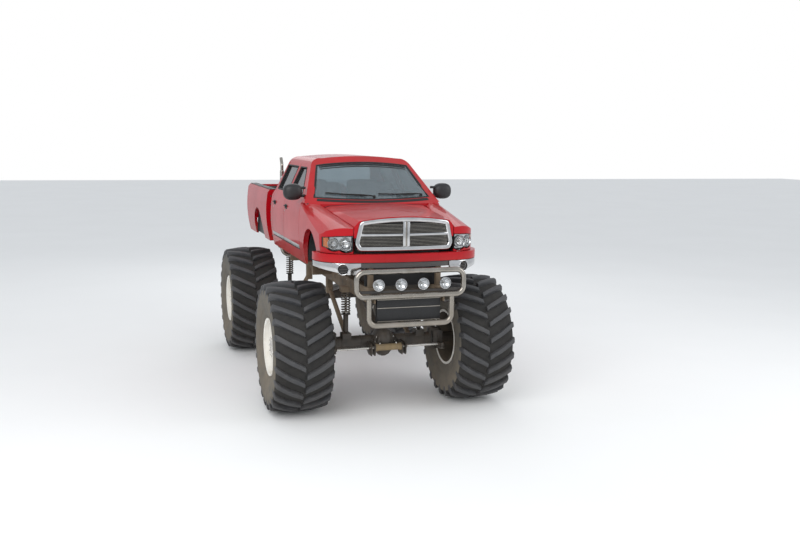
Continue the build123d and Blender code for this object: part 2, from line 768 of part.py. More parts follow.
def build_grille():
    # an arched surround, a cross and fine slats, following the nose in plan
    opening = offset(grille_face(0), -grille_bar)
    layer = grille_layer(grille_proud, grille_proud + grille_depth)
    bars = front_slab(grille_face(0) - opening, nose_tip, 0) & layer
    centre_z = (grille_top_z + grille_bottom_z) / 2 - grille_cross_drop
    height = grille_top_z - grille_bottom_z - grille_bar
    cross = Pos(0, centre_z) * Rectangle(2 * grille_half - grille_bar, 2 * cross_bar_half)
    cross += Pos(0, centre_z) * Rectangle(2 * centre_bar_half, height)
    bars += front_slab(cross & grille_face(-cross_bar_half), nose_tip, 0) & layer
    room = height / 2 - grille_bar / 2 - cross_bar_half
    slats = []
    for half in (-1, 1):
        for index in range(slat_count):
            slat_z = centre_z + half * (cross_bar_half + room * (index + 1) / (slat_count + 1))
            slats.append(Pos(0, slat_z) * Rectangle(2 * grille_half - grille_bar, slat_height))
    strips = slats[0].fuse(*slats[1:])
    strips &= grille_face(-2 * cross_bar_half)
    bars += front_slab(strips, nose_tip, 0) & grille_layer(-slat_setback, slat_depth)
    keep("grille", bars)


def build_bumper():
    outer, inner = nose_plan(cap_proud), nose_plan(cap_proud - bumper_wall)
    end_y = -arch_radius - cap_end_gap
    cap = top_slab(outer, cap_bottom_z, cap_top_z) - top_slab(inner, sill_z, cap_top_z - bumper_wall)
    cap -= top_slab(nose_plan(cap_proud - bumper_flange), sill_z, hood_low_z)
    keep("bumper_cap", cap & box(-far, far, nose_tip, end_y, sill_z, hood_low_z))
    low, high = bumper_end_bottom_z, bumper_end_top_z
    ends = top_slab(outer, low, high) - top_slab(inner, sill_z, roof_z)
    ends &= box(bumper_end_inner_x, far, nose_tip, end_y, sill_z, roof_z)
    taper = outline(*end_taper, (far, 0), (end_taper[0][0], 0))
    fog = rod((fog_x, nose_tip, fog_z), (fog_x, nose_end_y, fog_z), fog_radius, tube_sides)
    ends = ends - front_slab(taper, nose_tip, 0) - fog
    keep("bumper_ends", left_and_right(largest(ends)))
    edge = bumper_end_inner_x - trim_gap
    valance = top_slab(nose_plan(cap_proud - valance_setback), valance_bottom_z, cap_bottom_z - trim_gap)
    valance -= top_slab(inner, sill_z, roof_z)
    keep("valance", valance & box(-edge, edge, nose_tip, nose_end_y, sill_z, roof_z))


def build_bull_bar():
    half = bent_tube([(0, loop_y, loop_top_z), (loop_half, loop_y, loop_top_z),
                      (loop_half, loop_y, loop_bottom_z), (0, loop_y, loop_bottom_z)], loop_tube, loop_corner)
    bar = half + mirror(half, about=Plane.YZ)
    bar += bent_tube([
        (-lower_loop_half, loop_y, loop_bottom_z), (-lower_loop_half, loop_y, lower_loop_bottom_z),
        (lower_loop_half, loop_y, lower_loop_bottom_z), (lower_loop_half, loop_y, loop_bottom_z),
    ], loop_tube, loop_corner)
    low = lamp_z - lamp_radius - 2 * lamp_bar_half
    bar += box(-loop_half, loop_half, loop_y, loop_y + 2 * lamp_bar_half, low, low + 2 * lamp_bar_half)
    # bolted bracket plates stand behind the loops, clear of the tow eyes
    brackets = []
    for side in (-1, 1):
        bar += box(side * (rail_x - strut_half), side * (rail_x + strut_half), loop_y, frame_front - seat_gap,
                   strut_low, strut_high)
        brackets.append(box(side * rail_x, side * (lower_loop_half + gusset_lap), loop_y + loop_tube + seat_gap,
                            frame_front - seat_gap, gusset_low, gusset_high))
    keep("bull_bar", [bar] + brackets)
    # lamps stand on the bar behind their rims
    lamps = []
    for index in range(4):
        x = (index - 1.5) * lamp_pitch
        rings = [front_plane.offset(-y) * Pos(x, lamp_z) * RegularPolygon(radius, lamp_sides)
                 for y, radius in ((loop_y - lamp_depth, lamp_radius), (loop_y - lamp_depth / 3, lamp_radius),
                                   (loop_y, lamp_radius * lamp_back))]
        foot = box(x - lamp_foot_half, x + lamp_foot_half, loop_y - lamp_foot_front, loop_y + lamp_foot_back,
                   low + 2 * lamp_bar_half + seat_gap, lamp_z - lamp_radius / 3)
        lamps.append(loft(rings, ruled=True) + foot)
    keep("spot_lamps", lamps)
    back_y = frame_front - seat_gap
    front_y = back_y - cooler_depth
    low_tank = box(-cooler_half, cooler_half, front_y, back_y, cooler_bottom, cooler_seam - cooler_seam_half)
    top_tank = box(-cooler_half, cooler_half, front_y, back_y, cooler_seam + cooler_seam_half, cooler_top)
    half = cooler_half - cooler_rim
    core = box(-half, half, front_y + cooler_rim, back_y - cooler_rim, cooler_bottom + cooler_rim,
               cooler_top - cooler_rim)
    keep("cooler", low_tank + top_tank + core)
    keep("radiator", box(-radiator_half, radiator_half, radiator_front, radiator_back, rail_top + seat_gap,
                         radiator_top))


# Bed
def bed_section():
    tuck, lip = bed_half - bed_tuck, (bed_half - bed_lip_in, bed_rail_z - bed_lip_drop)
    return outline(
        (-tuck, bed_sill_z), (tuck, bed_sill_z), ((bed_half, bulge_z), lip), (tuck, bed_rail_z),
        (-tuck, bed_rail_z), (-lip[0], lip[1]), ((-bed_half, bulge_z), (-tuck, bed_sill_z)),
    )


def bed_inner_section():
    # straight inner faces of the bed's skirts
    tuck, wide, low = bed_half - bed_tuck - bed_skin, bed_half - bed_skin, bed_sill_z - seat_gap
    return outline((-tuck, low), (tuck, low), (wide, bulge_z), (-wide, bulge_z))


def build_bed():
    floor_low = bed_floor_z - bed_floor_thickness
    bed = front_slab(bed_section(), bed_front, bed_rear)
    below = box(-far, far, bed_front, bed_rear + past, 0, floor_low)
    bed -= front_slab(bed_inner_section(), bed_front + bed_skin, bed_rear + past) & below
    wall = bed_half - bed_wall - bed_tuck
    bed -= box(-wall, wall, bed_front + bed_skin, bed_rear + past, bed_floor_z, roof_z)
    arch_y = bed_front + bed_arch_y
    arch = Pos(0, arch_y, arch_z) * Rot(0, 90, 0) * Cylinder(bed_arch_radius, 2 * far)
    arch += box(-far, far, arch_y - bed_arch_radius, arch_y + bed_arch_radius, 0, arch_z)
    arch_x = bed_half - bed_tuck - bed_skin - bed_arch_in
    for side in (-1, 1):
        bed -= arch & box(side * arch_x, side * far, 0, bed_rear, 0, roof_z)
    edge = tailgate_half + tailgate_gap
    bed -= box(-edge, edge, bed_rear - tailgate_thickness - tailgate_gap, bed_rear + past,
               tailgate_sill_z - tailgate_gap, roof_z)
    for side in (-1, 1):
        bed += box(side * (gate_lug_x - gate_lug_half), side * (gate_lug_x + gate_lug_half),
                   bed_rear - gate_lug_front, bed_rear - gate_lug_back, tailgate_sill_z - gate_lug_height,
                   tailgate_sill_z - seat_gap)
    keep("bed", bed)
    gate = box(-tailgate_half, tailgate_half, bed_rear - tailgate_thickness, bed_rear, tailgate_sill_z,
               bed_rail_z - tailgate_top_drop)
    half = tailgate_half - tailgate_panel_in
    gate -= box(-half, half, bed_rear - tailgate_panel_depth, bed_rear + past,
                tailgate_sill_z + tailgate_panel_in, bed_rail_z - tailgate_panel_top)
    keep("tailgate", gate)
    lamp = box(tail_lamp_inner, tail_lamp_outer, bed_rear + seat_gap, bed_rear + tail_lamp_depth, tail_lamp_low,
               tail_lamp_high)
    keep("tail_lamps", left_and_right(chamfer(lamp.edges().filter_by(Axis.Y), tail_lamp_round)))


def build_stacks():
    stacks, y = [], bed_front - bed_gap / 2
    for side in (-1, 1):
        foot = side * (rail_outer + seat_gap)
        stack = bent_tube([(foot, y, stack_foot_z), (side * stack_x, y, stack_foot_z),
                           (side * stack_x, y, stack_top_z)], stack_radius, stack_bend)
        stack += bent_tube([(side * stack_x, y, stack_top_z - tip_root),
                            (side * stack_x, y, tip_top_z - tip_reach),
                            (side * stack_x, y + tip_reach, tip_top_z)], tip_radius, tip_bend)
        stacks.append(stack)
    keep("exhaust_stacks", *stacks)


# Chassis
def build_frame():
    # two rails with posts under cab and bed, link brackets and spring seats
    mounts = [  # y, x, top z
        (cab_mount_front, outrigger_x, sill_z), (cab_mount_rear, outrigger_x, sill_z),
        (bed_front + bed_mount_front, rail_x, bed_floor_z - bed_floor_thickness),
        (bed_rear - bed_mount_rear, rail_x, bed_floor_z - bed_floor_thickness),
    ]
    right = box(rail_inner, rail_outer, frame_front, frame_rear, rail_low, rail_top)
    for y, x, top in mounts:
        if x > rail_x:
            high = rail_top - outrigger_drop
            right += box(rail_x, x + post_half, y - post_half, y + post_half, high - outrigger_height, high)
        right += box(x - post_half, x + post_half, y - post_half, y + post_half, rail_top - outrigger_height,
                     top)
    for end, inward in ((0, 1), (wheelbase, -1)):
        link_y = end + inward * link_reach
        right += box(rail_x - link_bracket_width / 2, rail_x + link_bracket_width / 2,
                     link_y - link_bracket_half,
                     link_y + link_bracket_half, rail_low - link_bracket_drop, rail_low)
        seat_low = rail_low - spring_seat_drop
        right += box(rail_inner, spring_x + spring_radius + spring_seat_drop, end - spring_seat_half,
                     end + spring_seat_half, seat_low, seat_low + spring_seat_height)
    tow_front = frame_front - tow_plate_length
    tow_outer = tow_plate_x + tow_plate_thickness
    right += box(tow_plate_x, tow_outer, tow_front, frame_front, tow_plate_low, tow_plate_high)
    right -= rod((rail_inner, tow_hole_y, tow_plate_middle), (rail_outer, tow_hole_y, tow_plate_middle),
                 tow_hole_radius)
    keep("frame", left_and_right(right))
    # what lies between the rails, and the curved beam that carries the front bumper
    cross = []
    inner = rail_inner - seat_gap
    for y in cross_ys:
        cross.append(box(-inner, inner, y - cross_half, y + cross_half, cross_z - cross_half,
                         cross_z + cross_half))
    beam = top_slab(nose_plan(cap_proud - bumper_wall - seat_gap), beam_low, beam_high)
    beam -= top_slab(nose_plan(cap_proud - bumper_wall - beam_depth), sill_z, roof_z)
    beam &= box(-beam_half, beam_half, nose_tip, nose_end_y, sill_z, roof_z)
    for side in (-1, 1):
        beam += box(side * (rail_x - beam_leg_half), side * (rail_x + beam_leg_half), beam_leg_front,
                    beam_leg_back, rail_top + seat_gap, beam_low + beam_leg_lap)
    keep("crossmembers", *cross, beam)
    bumper_back = bumper_rear - drawbar_overhang
    bumper = box(-rear_bumper_half, rear_bumper_half, bumper_back - rear_bumper_depth, bumper_back,
                 rear_bumper_low, rear_bumper_high)
    for side in (-1, 1):
        bumper += box(side * rail_inner, side * rail_outer, frame_rear + seat_gap, bumper_back - rear_leg_lap,
                      rear_bumper_low - rear_leg_drop, rear_bumper_low + rear_leg_rise)
    bar = box(-drawbar_half, drawbar_half, bumper_back - drawbar_root, bumper_rear, drawbar_z,
              drawbar_z + drawbar_thickness)
    bumper += bar - pin(0, drawbar_pin_y, drawbar_z, drawbar_pin_radius, 4 * drawbar_thickness)
    keep("rear_bumper", bumper)


def build_driveline():
    seat_z = cross_z + cross_half + seat_gap
    keep("engine", box(-engine_half, engine_half, engine_front, engine_back, seat_z, engine_top))
    drive = box(-gearbox_half, gearbox_half, engine_back + seat_gap, gearbox_end, seat_z,
                rail_top + gearbox_rise)
    transfer_end = gearbox_end + transfer_length
    drive += box(-transfer_half, transfer_half, gearbox_end, transfer_end, rail_low - transfer_drop,
                 rail_top - transfer_top_drop)
    shaft_z = rail_low - shaft_drop
    flange = pinion_end + seat_gap
    shaft_rows = ((gearbox_end + shaft_root, flange), (transfer_end - shaft_root, wheelbase - flange))
    for near, axle_end in shaft_rows:
        drive += rod((0, near, shaft_z), (0, axle_end, axle_z + pinion_rise), driveshaft_radius)
    for axle in ("front_axle", "rear_axle"):
        drive -= nodes[axle][0]
    keep("driveline", largest(drive))


def build_axle(name, y, steered):
    end_x = kingpin_x - fork_setback if steered else half_track + hub_inner_x - spindle_root
    axle = rod((-end_x, y, axle_z), (end_x, y, axle_z), axle_tube_radius, tube_sides)
    rings = [Plane(origin=(x, y, axle_z), x_dir=(0, 1, 0), z_dir=(1, 0, 0)) * RegularPolygon(radius, diff_sides)
             for x, radius in ((-cover_half, cover_radius), (-diff_half, diff_radius), (diff_half, diff_radius),
                               (cover_half, cover_radius))]
    axle += loft(rings, ruled=True)
    toward = 1 if y == 0 else -1
    axle += rod((0, y, axle_z + pinion_rise / 2), (0, y + toward * pinion_end, axle_z + pinion_rise),
                pinion_radius, tube_sides)
    for side in (-1, 1):
        axle += box(side * (spring_x - pad_half), side * (spring_x + pad_half), y - pad_depth, y + pad_depth,
                    axle_z, axle_z + pad_height)
        axle += box(side * (rail_x - ear_half), side * (rail_x + ear_half), y + toward * ear_near,
                    y + toward * ear_far, axle_z - ear_drop, axle_z + ear_rise)
        if steered:
            reach, root = knuckle_half_height + running_gap, side * (end_x - fork_root)
            for level in (-1, 1):
                z = axle_z + level * reach
                axle += box(root, side * kingpin_x, y - fork_radius, y + fork_radius, z,
                            z + level * fork_thickness)
                axle += pin(side * kingpin_x, y, z + level * fork_thickness / 2, fork_radius, fork_thickness,
                            hub_sides)
            axle += box(root, side * (end_x - fork_web), y - fork_radius, y + fork_radius, axle_z - reach,
                        axle_z + reach)
            axle -= pin(side * kingpin_x, y, axle_z, kingpin_radius + running_gap, 4 * reach)
        else:
            axle += rod((side * (end_x - spindle_lap), y, axle_z), (side * spindle_end, y, axle_z),
                        spindle_radius)
    if steered:
        axle += rod((-cylinder_half, cylinder_y, cylinder_z), (cylinder_half, cylinder_y, cylinder_z),
                    cylinder_radius)
        for side in (-1, 1):
            axle += box(side * (cylinder_half - cylinder_ear_lap), side * (cylinder_half + cylinder_ear),
                        cylinder_y - cylinder_ear_front, y - cylinder_ear_back, cylinder_ear_low,
                        cylinder_ear_high)
        axle -= rod((-far, cylinder_y, cylinder_z), (far, cylinder_y, cylinder_z),
                    cylinder_rod_radius + cylinder_rod_gap)
    keep(name, axle)


def build_steering():
    pin_half = knuckle_half_height + running_gap + fork_thickness
    # plan view of the knuckle: narrow at the fork, wide where the spindle leaves it
    plan = outline((kingpin_x - knuckle_back, -knuckle_narrow), (kingpin_x + knuckle_front, -knuckle_wide),
                   (kingpin_x + knuckle_front, knuckle_wide), (kingpin_x - knuckle_back, knuckle_narrow))
    knuckle = top_slab(plan, axle_z - knuckle_half_height, axle_z + knuckle_half_height)
    knuckle += pin(kingpin_x, 0, axle_z, kingpin_radius, 2 * pin_half)
    knuckle += rod((kingpin_x, 0, axle_z), (spindle_end, 0, axle_z), spindle_radius)
    half_arm, arm_y = steer_arm_thickness / 2, -steer_arm_length
    knuckle += box(kingpin_x - steer_arm_width / 2, kingpin_x + steer_arm_width / 2, arm_y, 0,
                   steer_arm_z - half_arm, steer_arm_z + half_arm)
    knuckle += pin(kingpin_x, arm_y, steer_arm_z, rod_eye_radius, steer_arm_thickness, hub_sides)
    for side in ("left", "right"):
        keep(f"knuckle_{side}", sided(knuckle, side))
    bar = rod((-rod_half, cylinder_y, cylinder_z), (rod_half, cylinder_y, cylinder_z), cylinder_rod_radius)
    for side in (-1, 1):
        bar += pin(side * kingpin_x, cylinder_y, cylinder_z - rod_eye_drop, rod_eye_radius, rod_eye_height,
                   hub_sides)
    keep("steering_rod", bar)


def build_suspension():
    springs, links = [], []
    low, high = axle_z + pad_height + seat_gap, rail_low - spring_seat_drop - seat_gap
    for end, inward in ((0, 1), (wheelbase, -1)):
        for side in (-1, 1):
            body = pin(side * spring_x, end, (low + high) / 2, damper_radius, high - low, tube_sides)
            body += pin(side * spring_x, end, high - spring_length / 2, spring_radius, spring_length,
                        tube_sides)
            springs.append(body)
            far_y = link_reach - link_bracket_half - link_end_gap
            link = rod((side * rail_x, end + inward * link_axle_y, axle_z - link_axle_drop),
                       (side * rail_x, end + inward * far_y, rail_low - link_frame_drop), link_radius,
                       link_sides)
            for carrier in nodes["frame"] + nodes["front_axle"] + nodes["rear_axle"]:
                link -= carrier
            links.append(largest(link))
    keep("springs", *springs)
    keep("links", *links)


# Wheels
def lug_shape():
    # one tread lug at the top of the tyre: a bent bar that runs from the middle over the shoulder
    half = lug_width / 2
    plan = outline(
        (lug_tip_x, -lug_reach), (lug_knee_x, lug_knee_y - half), (tread_half, lug_end_y - half),
        (tread_half, lug_end_y + half), (lug_tip_x, half * 2 - lug_reach),
    )
    lug = top_slab(plan, lug_root, lug_top)
    end = (tread_half, lug_top - lug_fall)
    fall = outline((0, lug_top), end, (tread_half, tyre_radius), (0, tyre_radius))
    return lug - front_slab(fall, -far, far)


def wheel_rings(*rows):
    # a flat-sided form across the wheel's axis, through rings given by x and radius
    return loft([Plane(origin=(x, 0, 0), x_dir=(0, 1, 0), z_dir=(1, 0, 0)) * RegularPolygon(radius, lug_count)
                 for x, radius in rows], ruled=True)


def carcass():
    body = wheel_rings((-sidewall_half, sidewall_radius), (-tread_half, shoulder_radius), (0, crown_radius),
                       (tread_half, shoulder_radius), (sidewall_half, sidewall_radius))
    for side in (-1, 1):
        body -= wheel_rings((side * bead_half, bead_radius), (side * sidewall_half, sidewall_radius))
    return body - wheel_ring(-sidewall_half, sidewall_half, bead_radius)


def build_wheels():
    pitch = 360 / lug_count
    lug, lugs = lug_shape(), []
    for index in range(lug_count):
        lugs.append(Rot((index + 0.5) * pitch, 0, 0) * lug)
        lugs.append(Rot(index * pitch, 0, 0) * mirror(lug, about=Plane.YZ))
    tyre = carcass().fuse(*lugs)
    barrel = wheel_ring(-flange_x - rim_flange_width, flange_x + rim_flange_width, bead_radius - seat_gap)
    rim = barrel - wheel_ring(-far, far, bead_radius - rim_wall)
    for side in (-1, 1):
        inner, outer = side * flange_x, side * (flange_x + rim_flange_width)
        rim += wheel_ring(min(inner, outer), max(inner, outer), rim_flange_radius) - \
            wheel_ring(-far, far, bead_radius - rim_wall)
    rim += wheel_ring(rim_disc_x, rim_disc_x + rim_disc_thickness, bead_radius - rim_wall / 2)
    rim += rod((hub_inner_x, 0, 0), (hub_outer_x, 0, 0), hub_radius, hub_sides)
    rim -= rod((hub_inner_x - 1, 0, 0), (rim_disc_x, 0, 0), spindle_radius + running_gap)
    for axle_name, y in (("front", 0), ("rear", wheelbase)):
        for side in ("left", "right"):
            at = Pos(half_track, y, axle_z)
            keep(f"tyre_{axle_name}_{side}", sided(at * tyre, side))
            keep(f"rim_{axle_name}_{side}", sided(at * rim, side))


# Cabin
def build_cabin():
    dash = box(-dash_half, dash_half, cab_front + cab_wall + seat_gap, dash_back, dash_low, dash_high)
    dash += rod((steering_x, dash_back - 20, steering_z - 40), (steering_x, steering_y, steering_z),
                column_radius)
    ring = RegularPolygon(steering_radius, diff_sides) - RegularPolygon(steering_radius - steering_rim,
                                                                        diff_sides)
    ring += Rectangle(2 * steering_radius - steering_rim, steering_rim)
    dash += Pos(steering_x, steering_y, steering_z) * Rot(steering_tilt, 0, 0) * extrude(ring, steering_rim / 2)
    keep("dashboard", dash)
    seats = []
    for y in seat_rows:
        for x in (-seat_x, seat_x):
            front_y = y - seat_half
            seat = box(x - seat_half, x + seat_half, front_y, front_y + seat_depth, cushion_low, cushion_high)
            seat += box(x - pedestal_half, x + pedestal_half, y - pedestal_half, y + pedestal_half,
                        sill_z + floor_thickness + seat_gap, cushion_low)
            seat += Pos(x, y + seat_depth / 2, back_z) * Rot(back_lean, 0, 0) * \
                Box(2 * seat_half - 20, back_thickness, back_height)
            seats.append(seat)
    keep("seats", *seats)


build_cab()
build_doors()
build_hood()
build_fenders()
build_grille()
build_bumper()
build_bull_bar()
build_bed()
build_stacks()
build_axle("front_axle", 0, True)
build_axle("rear_axle", wheelbase, False)
build_frame()
build_driveline()
build_steering()
build_suspension()
build_wheels()
build_cabin()

os.makedirs("parts", exist_ok=True)
for name, solids in nodes.items():
    export_step(Pos(0, -middle_y, 0) * Compound(children=solids), f"parts/{name}.step")
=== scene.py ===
import json
import math

import bmesh
import bpy
from mathutils import Matrix, Vector
from mathutils.bvhtree import BVHTree

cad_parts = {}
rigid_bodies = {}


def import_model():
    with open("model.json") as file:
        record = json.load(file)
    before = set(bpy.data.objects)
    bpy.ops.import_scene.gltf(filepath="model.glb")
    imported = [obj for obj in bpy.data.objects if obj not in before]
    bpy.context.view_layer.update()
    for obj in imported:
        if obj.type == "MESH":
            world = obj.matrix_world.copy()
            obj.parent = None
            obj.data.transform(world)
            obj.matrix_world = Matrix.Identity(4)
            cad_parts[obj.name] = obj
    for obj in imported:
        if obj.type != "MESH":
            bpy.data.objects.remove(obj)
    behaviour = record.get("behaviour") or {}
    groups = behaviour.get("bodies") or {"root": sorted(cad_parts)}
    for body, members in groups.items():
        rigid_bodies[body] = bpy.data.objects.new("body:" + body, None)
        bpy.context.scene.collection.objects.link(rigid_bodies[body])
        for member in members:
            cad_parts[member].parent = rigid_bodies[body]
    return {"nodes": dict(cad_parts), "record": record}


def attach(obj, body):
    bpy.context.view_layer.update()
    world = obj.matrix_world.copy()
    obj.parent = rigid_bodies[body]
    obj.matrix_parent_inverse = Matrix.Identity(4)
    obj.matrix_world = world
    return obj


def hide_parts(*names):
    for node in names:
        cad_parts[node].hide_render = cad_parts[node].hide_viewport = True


# Monster truck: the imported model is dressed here. +X is the truck's left, -Y its front, z = 0 the floor.
# Pieces are drawn with y = 0 at the front axle, in metres, and moved back by middleY when they are finished.
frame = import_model()
for leftover in [item for item in bpy.data.objects if item.name in ("Cube", "Light", "Camera")]:
    bpy.data.objects.remove(leftover)
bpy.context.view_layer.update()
bodyOf = {node: body for body, nodes in frame["record"]["behaviour"]["bodies"].items() for node in nodes}
middleY = 1.9305
rearY = 3.660              # the rear axle's y
axleZ = 0.840              # both axles' height
print("frame loaded")


# The view of the photograph
shot = {
    "place": (-3.463, -13.1055, 3.485),
    "yaw": 18.30,          # degrees, towards the truck's left
    "pitch": 8.08,         # degrees down
    "roll": 0.73,
    "lens": 40.77,
    "sensor": 36,
}


def makeCamera():
    yaw, pitch, roll = (math.radians(shot[name]) for name in ("yaw", "pitch", "roll"))
    ahead = Vector((math.sin(yaw) * math.cos(pitch), math.cos(yaw) * math.cos(pitch), -math.sin(pitch)))
    level = Vector((math.cos(yaw), -math.sin(yaw), 0))
    above = level.cross(ahead)
    across = level * math.cos(roll) + above * math.sin(roll)
    upward = above * math.cos(roll) - level * math.sin(roll)
    data = bpy.data.cameras.new("shot")
    data.lens = shot["lens"]
    data.sensor_width = shot["sensor"]
    data.clip_end = 200
    camera = bpy.data.objects.new("shot", data)
    bpy.context.collection.objects.link(camera)
    turn = Matrix((across, upward, -ahead)).transposed()
    camera.matrix_world = Matrix.Translation(shot["place"]) @ turn.to_4x4()
    bpy.context.scene.camera = camera


makeCamera()
print("camera placed")


# Shader groups. Each gives only masks or values, and the surface shader stays in the material.
def newGroup(name, inputs, outputs):
    group = bpy.data.node_groups.new(name, "ShaderNodeTree")
    for label, kind, value in inputs:
        socket = group.interface.new_socket(name=label, in_out="INPUT", socket_type=kind)
        if value is not None:
            socket.default_value = value
    for label, kind in outputs:
        group.interface.new_socket(name=label, in_out="OUTPUT", socket_type=kind)
    return group, group.nodes.new("NodeGroupInput"), group.nodes.new("NodeGroupOutput")


def addMath(tree, operation, first, second, clamp=False):
    node = tree.nodes.new("ShaderNodeMath")
    node.operation = operation
    node.use_clamp = clamp
    for index, value in enumerate((first, second)):
        if isinstance(value, (int, float)):
            node.inputs[index].default_value = value
        else:
            tree.links.new(value, node.inputs[index])
    return node.outputs["Value"]


def addNoise(tree, vector, scale, detail=4, roughness=0.6, distortion=0.0):
    node = tree.nodes.new("ShaderNodeTexNoise")
    if isinstance(scale, (int, float)):
        node.inputs["Scale"].default_value = scale
    else:
        tree.links.new(scale, node.inputs["Scale"])
    node.inputs["Detail"].default_value = detail
    node.inputs["Roughness"].default_value = roughness
    node.inputs["Distortion"].default_value = distortion
    tree.links.new(vector, node.inputs["Vector"])
    return node.outputs["Fac"]


def addRange(tree, value, fromLow, fromHigh, toLow, toHigh):
    node = tree.nodes.new("ShaderNodeMapRange")
    settings = {"From Min": fromLow, "From Max": fromHigh, "To Min": toLow, "To Max": toHigh}
    for label, setting in settings.items():
        if isinstance(setting, (int, float)):
            node.inputs[label].default_value = setting
        else:
            tree.links.new(setting, node.inputs[label])
    tree.links.new(value, node.inputs["Value"])
    return node.outputs["Result"]


def addMix(tree, factor, first, second):
    # a colour between two, each of them given as a tone or as a socket
    node = tree.nodes.new("ShaderNodeMix")
    node.data_type = "RGBA"
    tree.links.new(factor, node.inputs["Factor"])
    for label, value in (("A", first), ("B", second)):
        if isinstance(value, tuple):
            node.inputs[label].default_value = (*value, 1)
        else:
            tree.links.new(value, node.inputs[label])
    return node.outputs["Result"]


def addGroup(tree, group, vector, **values):
    node = tree.nodes.new("ShaderNodeGroup")
    node.node_tree = group
    for label, value in values.items():
        node.inputs[label].default_value = value
    tree.links.new(vector, node.inputs["Vector"])
    return node.outputs


def makeDustGroup():
    # road dust: thick below one height, gone above another, broken up by noise, more on what faces up
    group, entry, leave = newGroup("roadDust", [
        ("Vector", "NodeSocketVector", None),
        ("Low", "NodeSocketFloat", 1.0),
        ("High", "NodeSocketFloat", 2.4),
        ("Amount", "NodeSocketFloat", 0.6),
        ("Scale", "NodeSocketFloat", 3.0),
    ], [("Mask", "NodeSocketFloat")])
    split = group.nodes.new("ShaderNodeSeparateXYZ")
    group.links.new(entry.outputs["Vector"], split.inputs["Vector"])
    height = addRange(group, split.outputs["Z"], entry.outputs["Low"], entry.outputs["High"], 1.0, 0.0)
    facing = group.nodes.new("ShaderNodeNewGeometry")
    upward = group.nodes.new("ShaderNodeSeparateXYZ")
    group.links.new(facing.outputs["Normal"], upward.inputs["Vector"])
    lying = addRange(group, upward.outputs["Z"], 0.2, 1.0, 0.0, 0.35)
    cloud = addNoise(group, entry.outputs["Vector"], entry.outputs["Scale"], 6, 0.65, 0.4)
    patch = addRange(group, cloud, 0.35, 0.68, 0.0, 1.0)
    laid = addMath(group, "ADD", height, lying)
    broken = addMath(group, "ADD", patch, 0.35)
    settled = addMath(group, "MULTIPLY", laid, broken)
    mask = addMath(group, "MULTIPLY", settled, entry.outputs["Amount"], True)
    group.links.new(mask, leave.inputs["Mask"])
    return group


def makeWearGroup():
    # slow changes of tone and a fine grain
    group, entry, leave = newGroup("surfaceWear", [
        ("Vector", "NodeSocketVector", None),
        ("Scale", "NodeSocketFloat", 6.0),
        ("Grain", "NodeSocketFloat", 220.0),
    ], [("Tone", "NodeSocketFloat"), ("Grain", "NodeSocketFloat")])
    slow = addNoise(group, entry.outputs["Vector"], entry.outputs["Scale"], 5, 0.55)
    fine = addNoise(group, entry.outputs["Vector"], entry.outputs["Grain"], 2, 0.5)
    group.links.new(addRange(group, slow, 0.3, 0.7, 0.0, 1.0), leave.inputs["Tone"])
    group.links.new(fine, leave.inputs["Grain"])
    return group


def makeScratchGroup():
    # short hairlines, drawn out along one axis
    group, entry, leave = newGroup("hairlines", [
        ("Vector", "NodeSocketVector", None),
        ("Stretch", "NodeSocketVector", (1.0, 1.0, 14.0)),
        ("Scale", "NodeSocketFloat", 40.0),
    ], [("Mask", "NodeSocketFloat")])
    scaled = group.nodes.new("ShaderNodeVectorMath")
    scaled.operation = "MULTIPLY"
    group.links.new(entry.outputs["Vector"], scaled.inputs[0])
    group.links.new(entry.outputs["Stretch"], scaled.inputs[1])
    lines = addNoise(group, scaled.outputs["Vector"], entry.outputs["Scale"], 3, 0.7)
    group.links.new(addRange(group, lines, 0.6, 0.75, 0.0, 1.0), leave.inputs["Mask"])
    return group


dustGroup = makeDustGroup()
wearGroup = makeWearGroup()
scratchGroup = makeScratchGroup()
print("shader groups made")


# Materials
dustTone = (0.30, 0.235, 0.165)


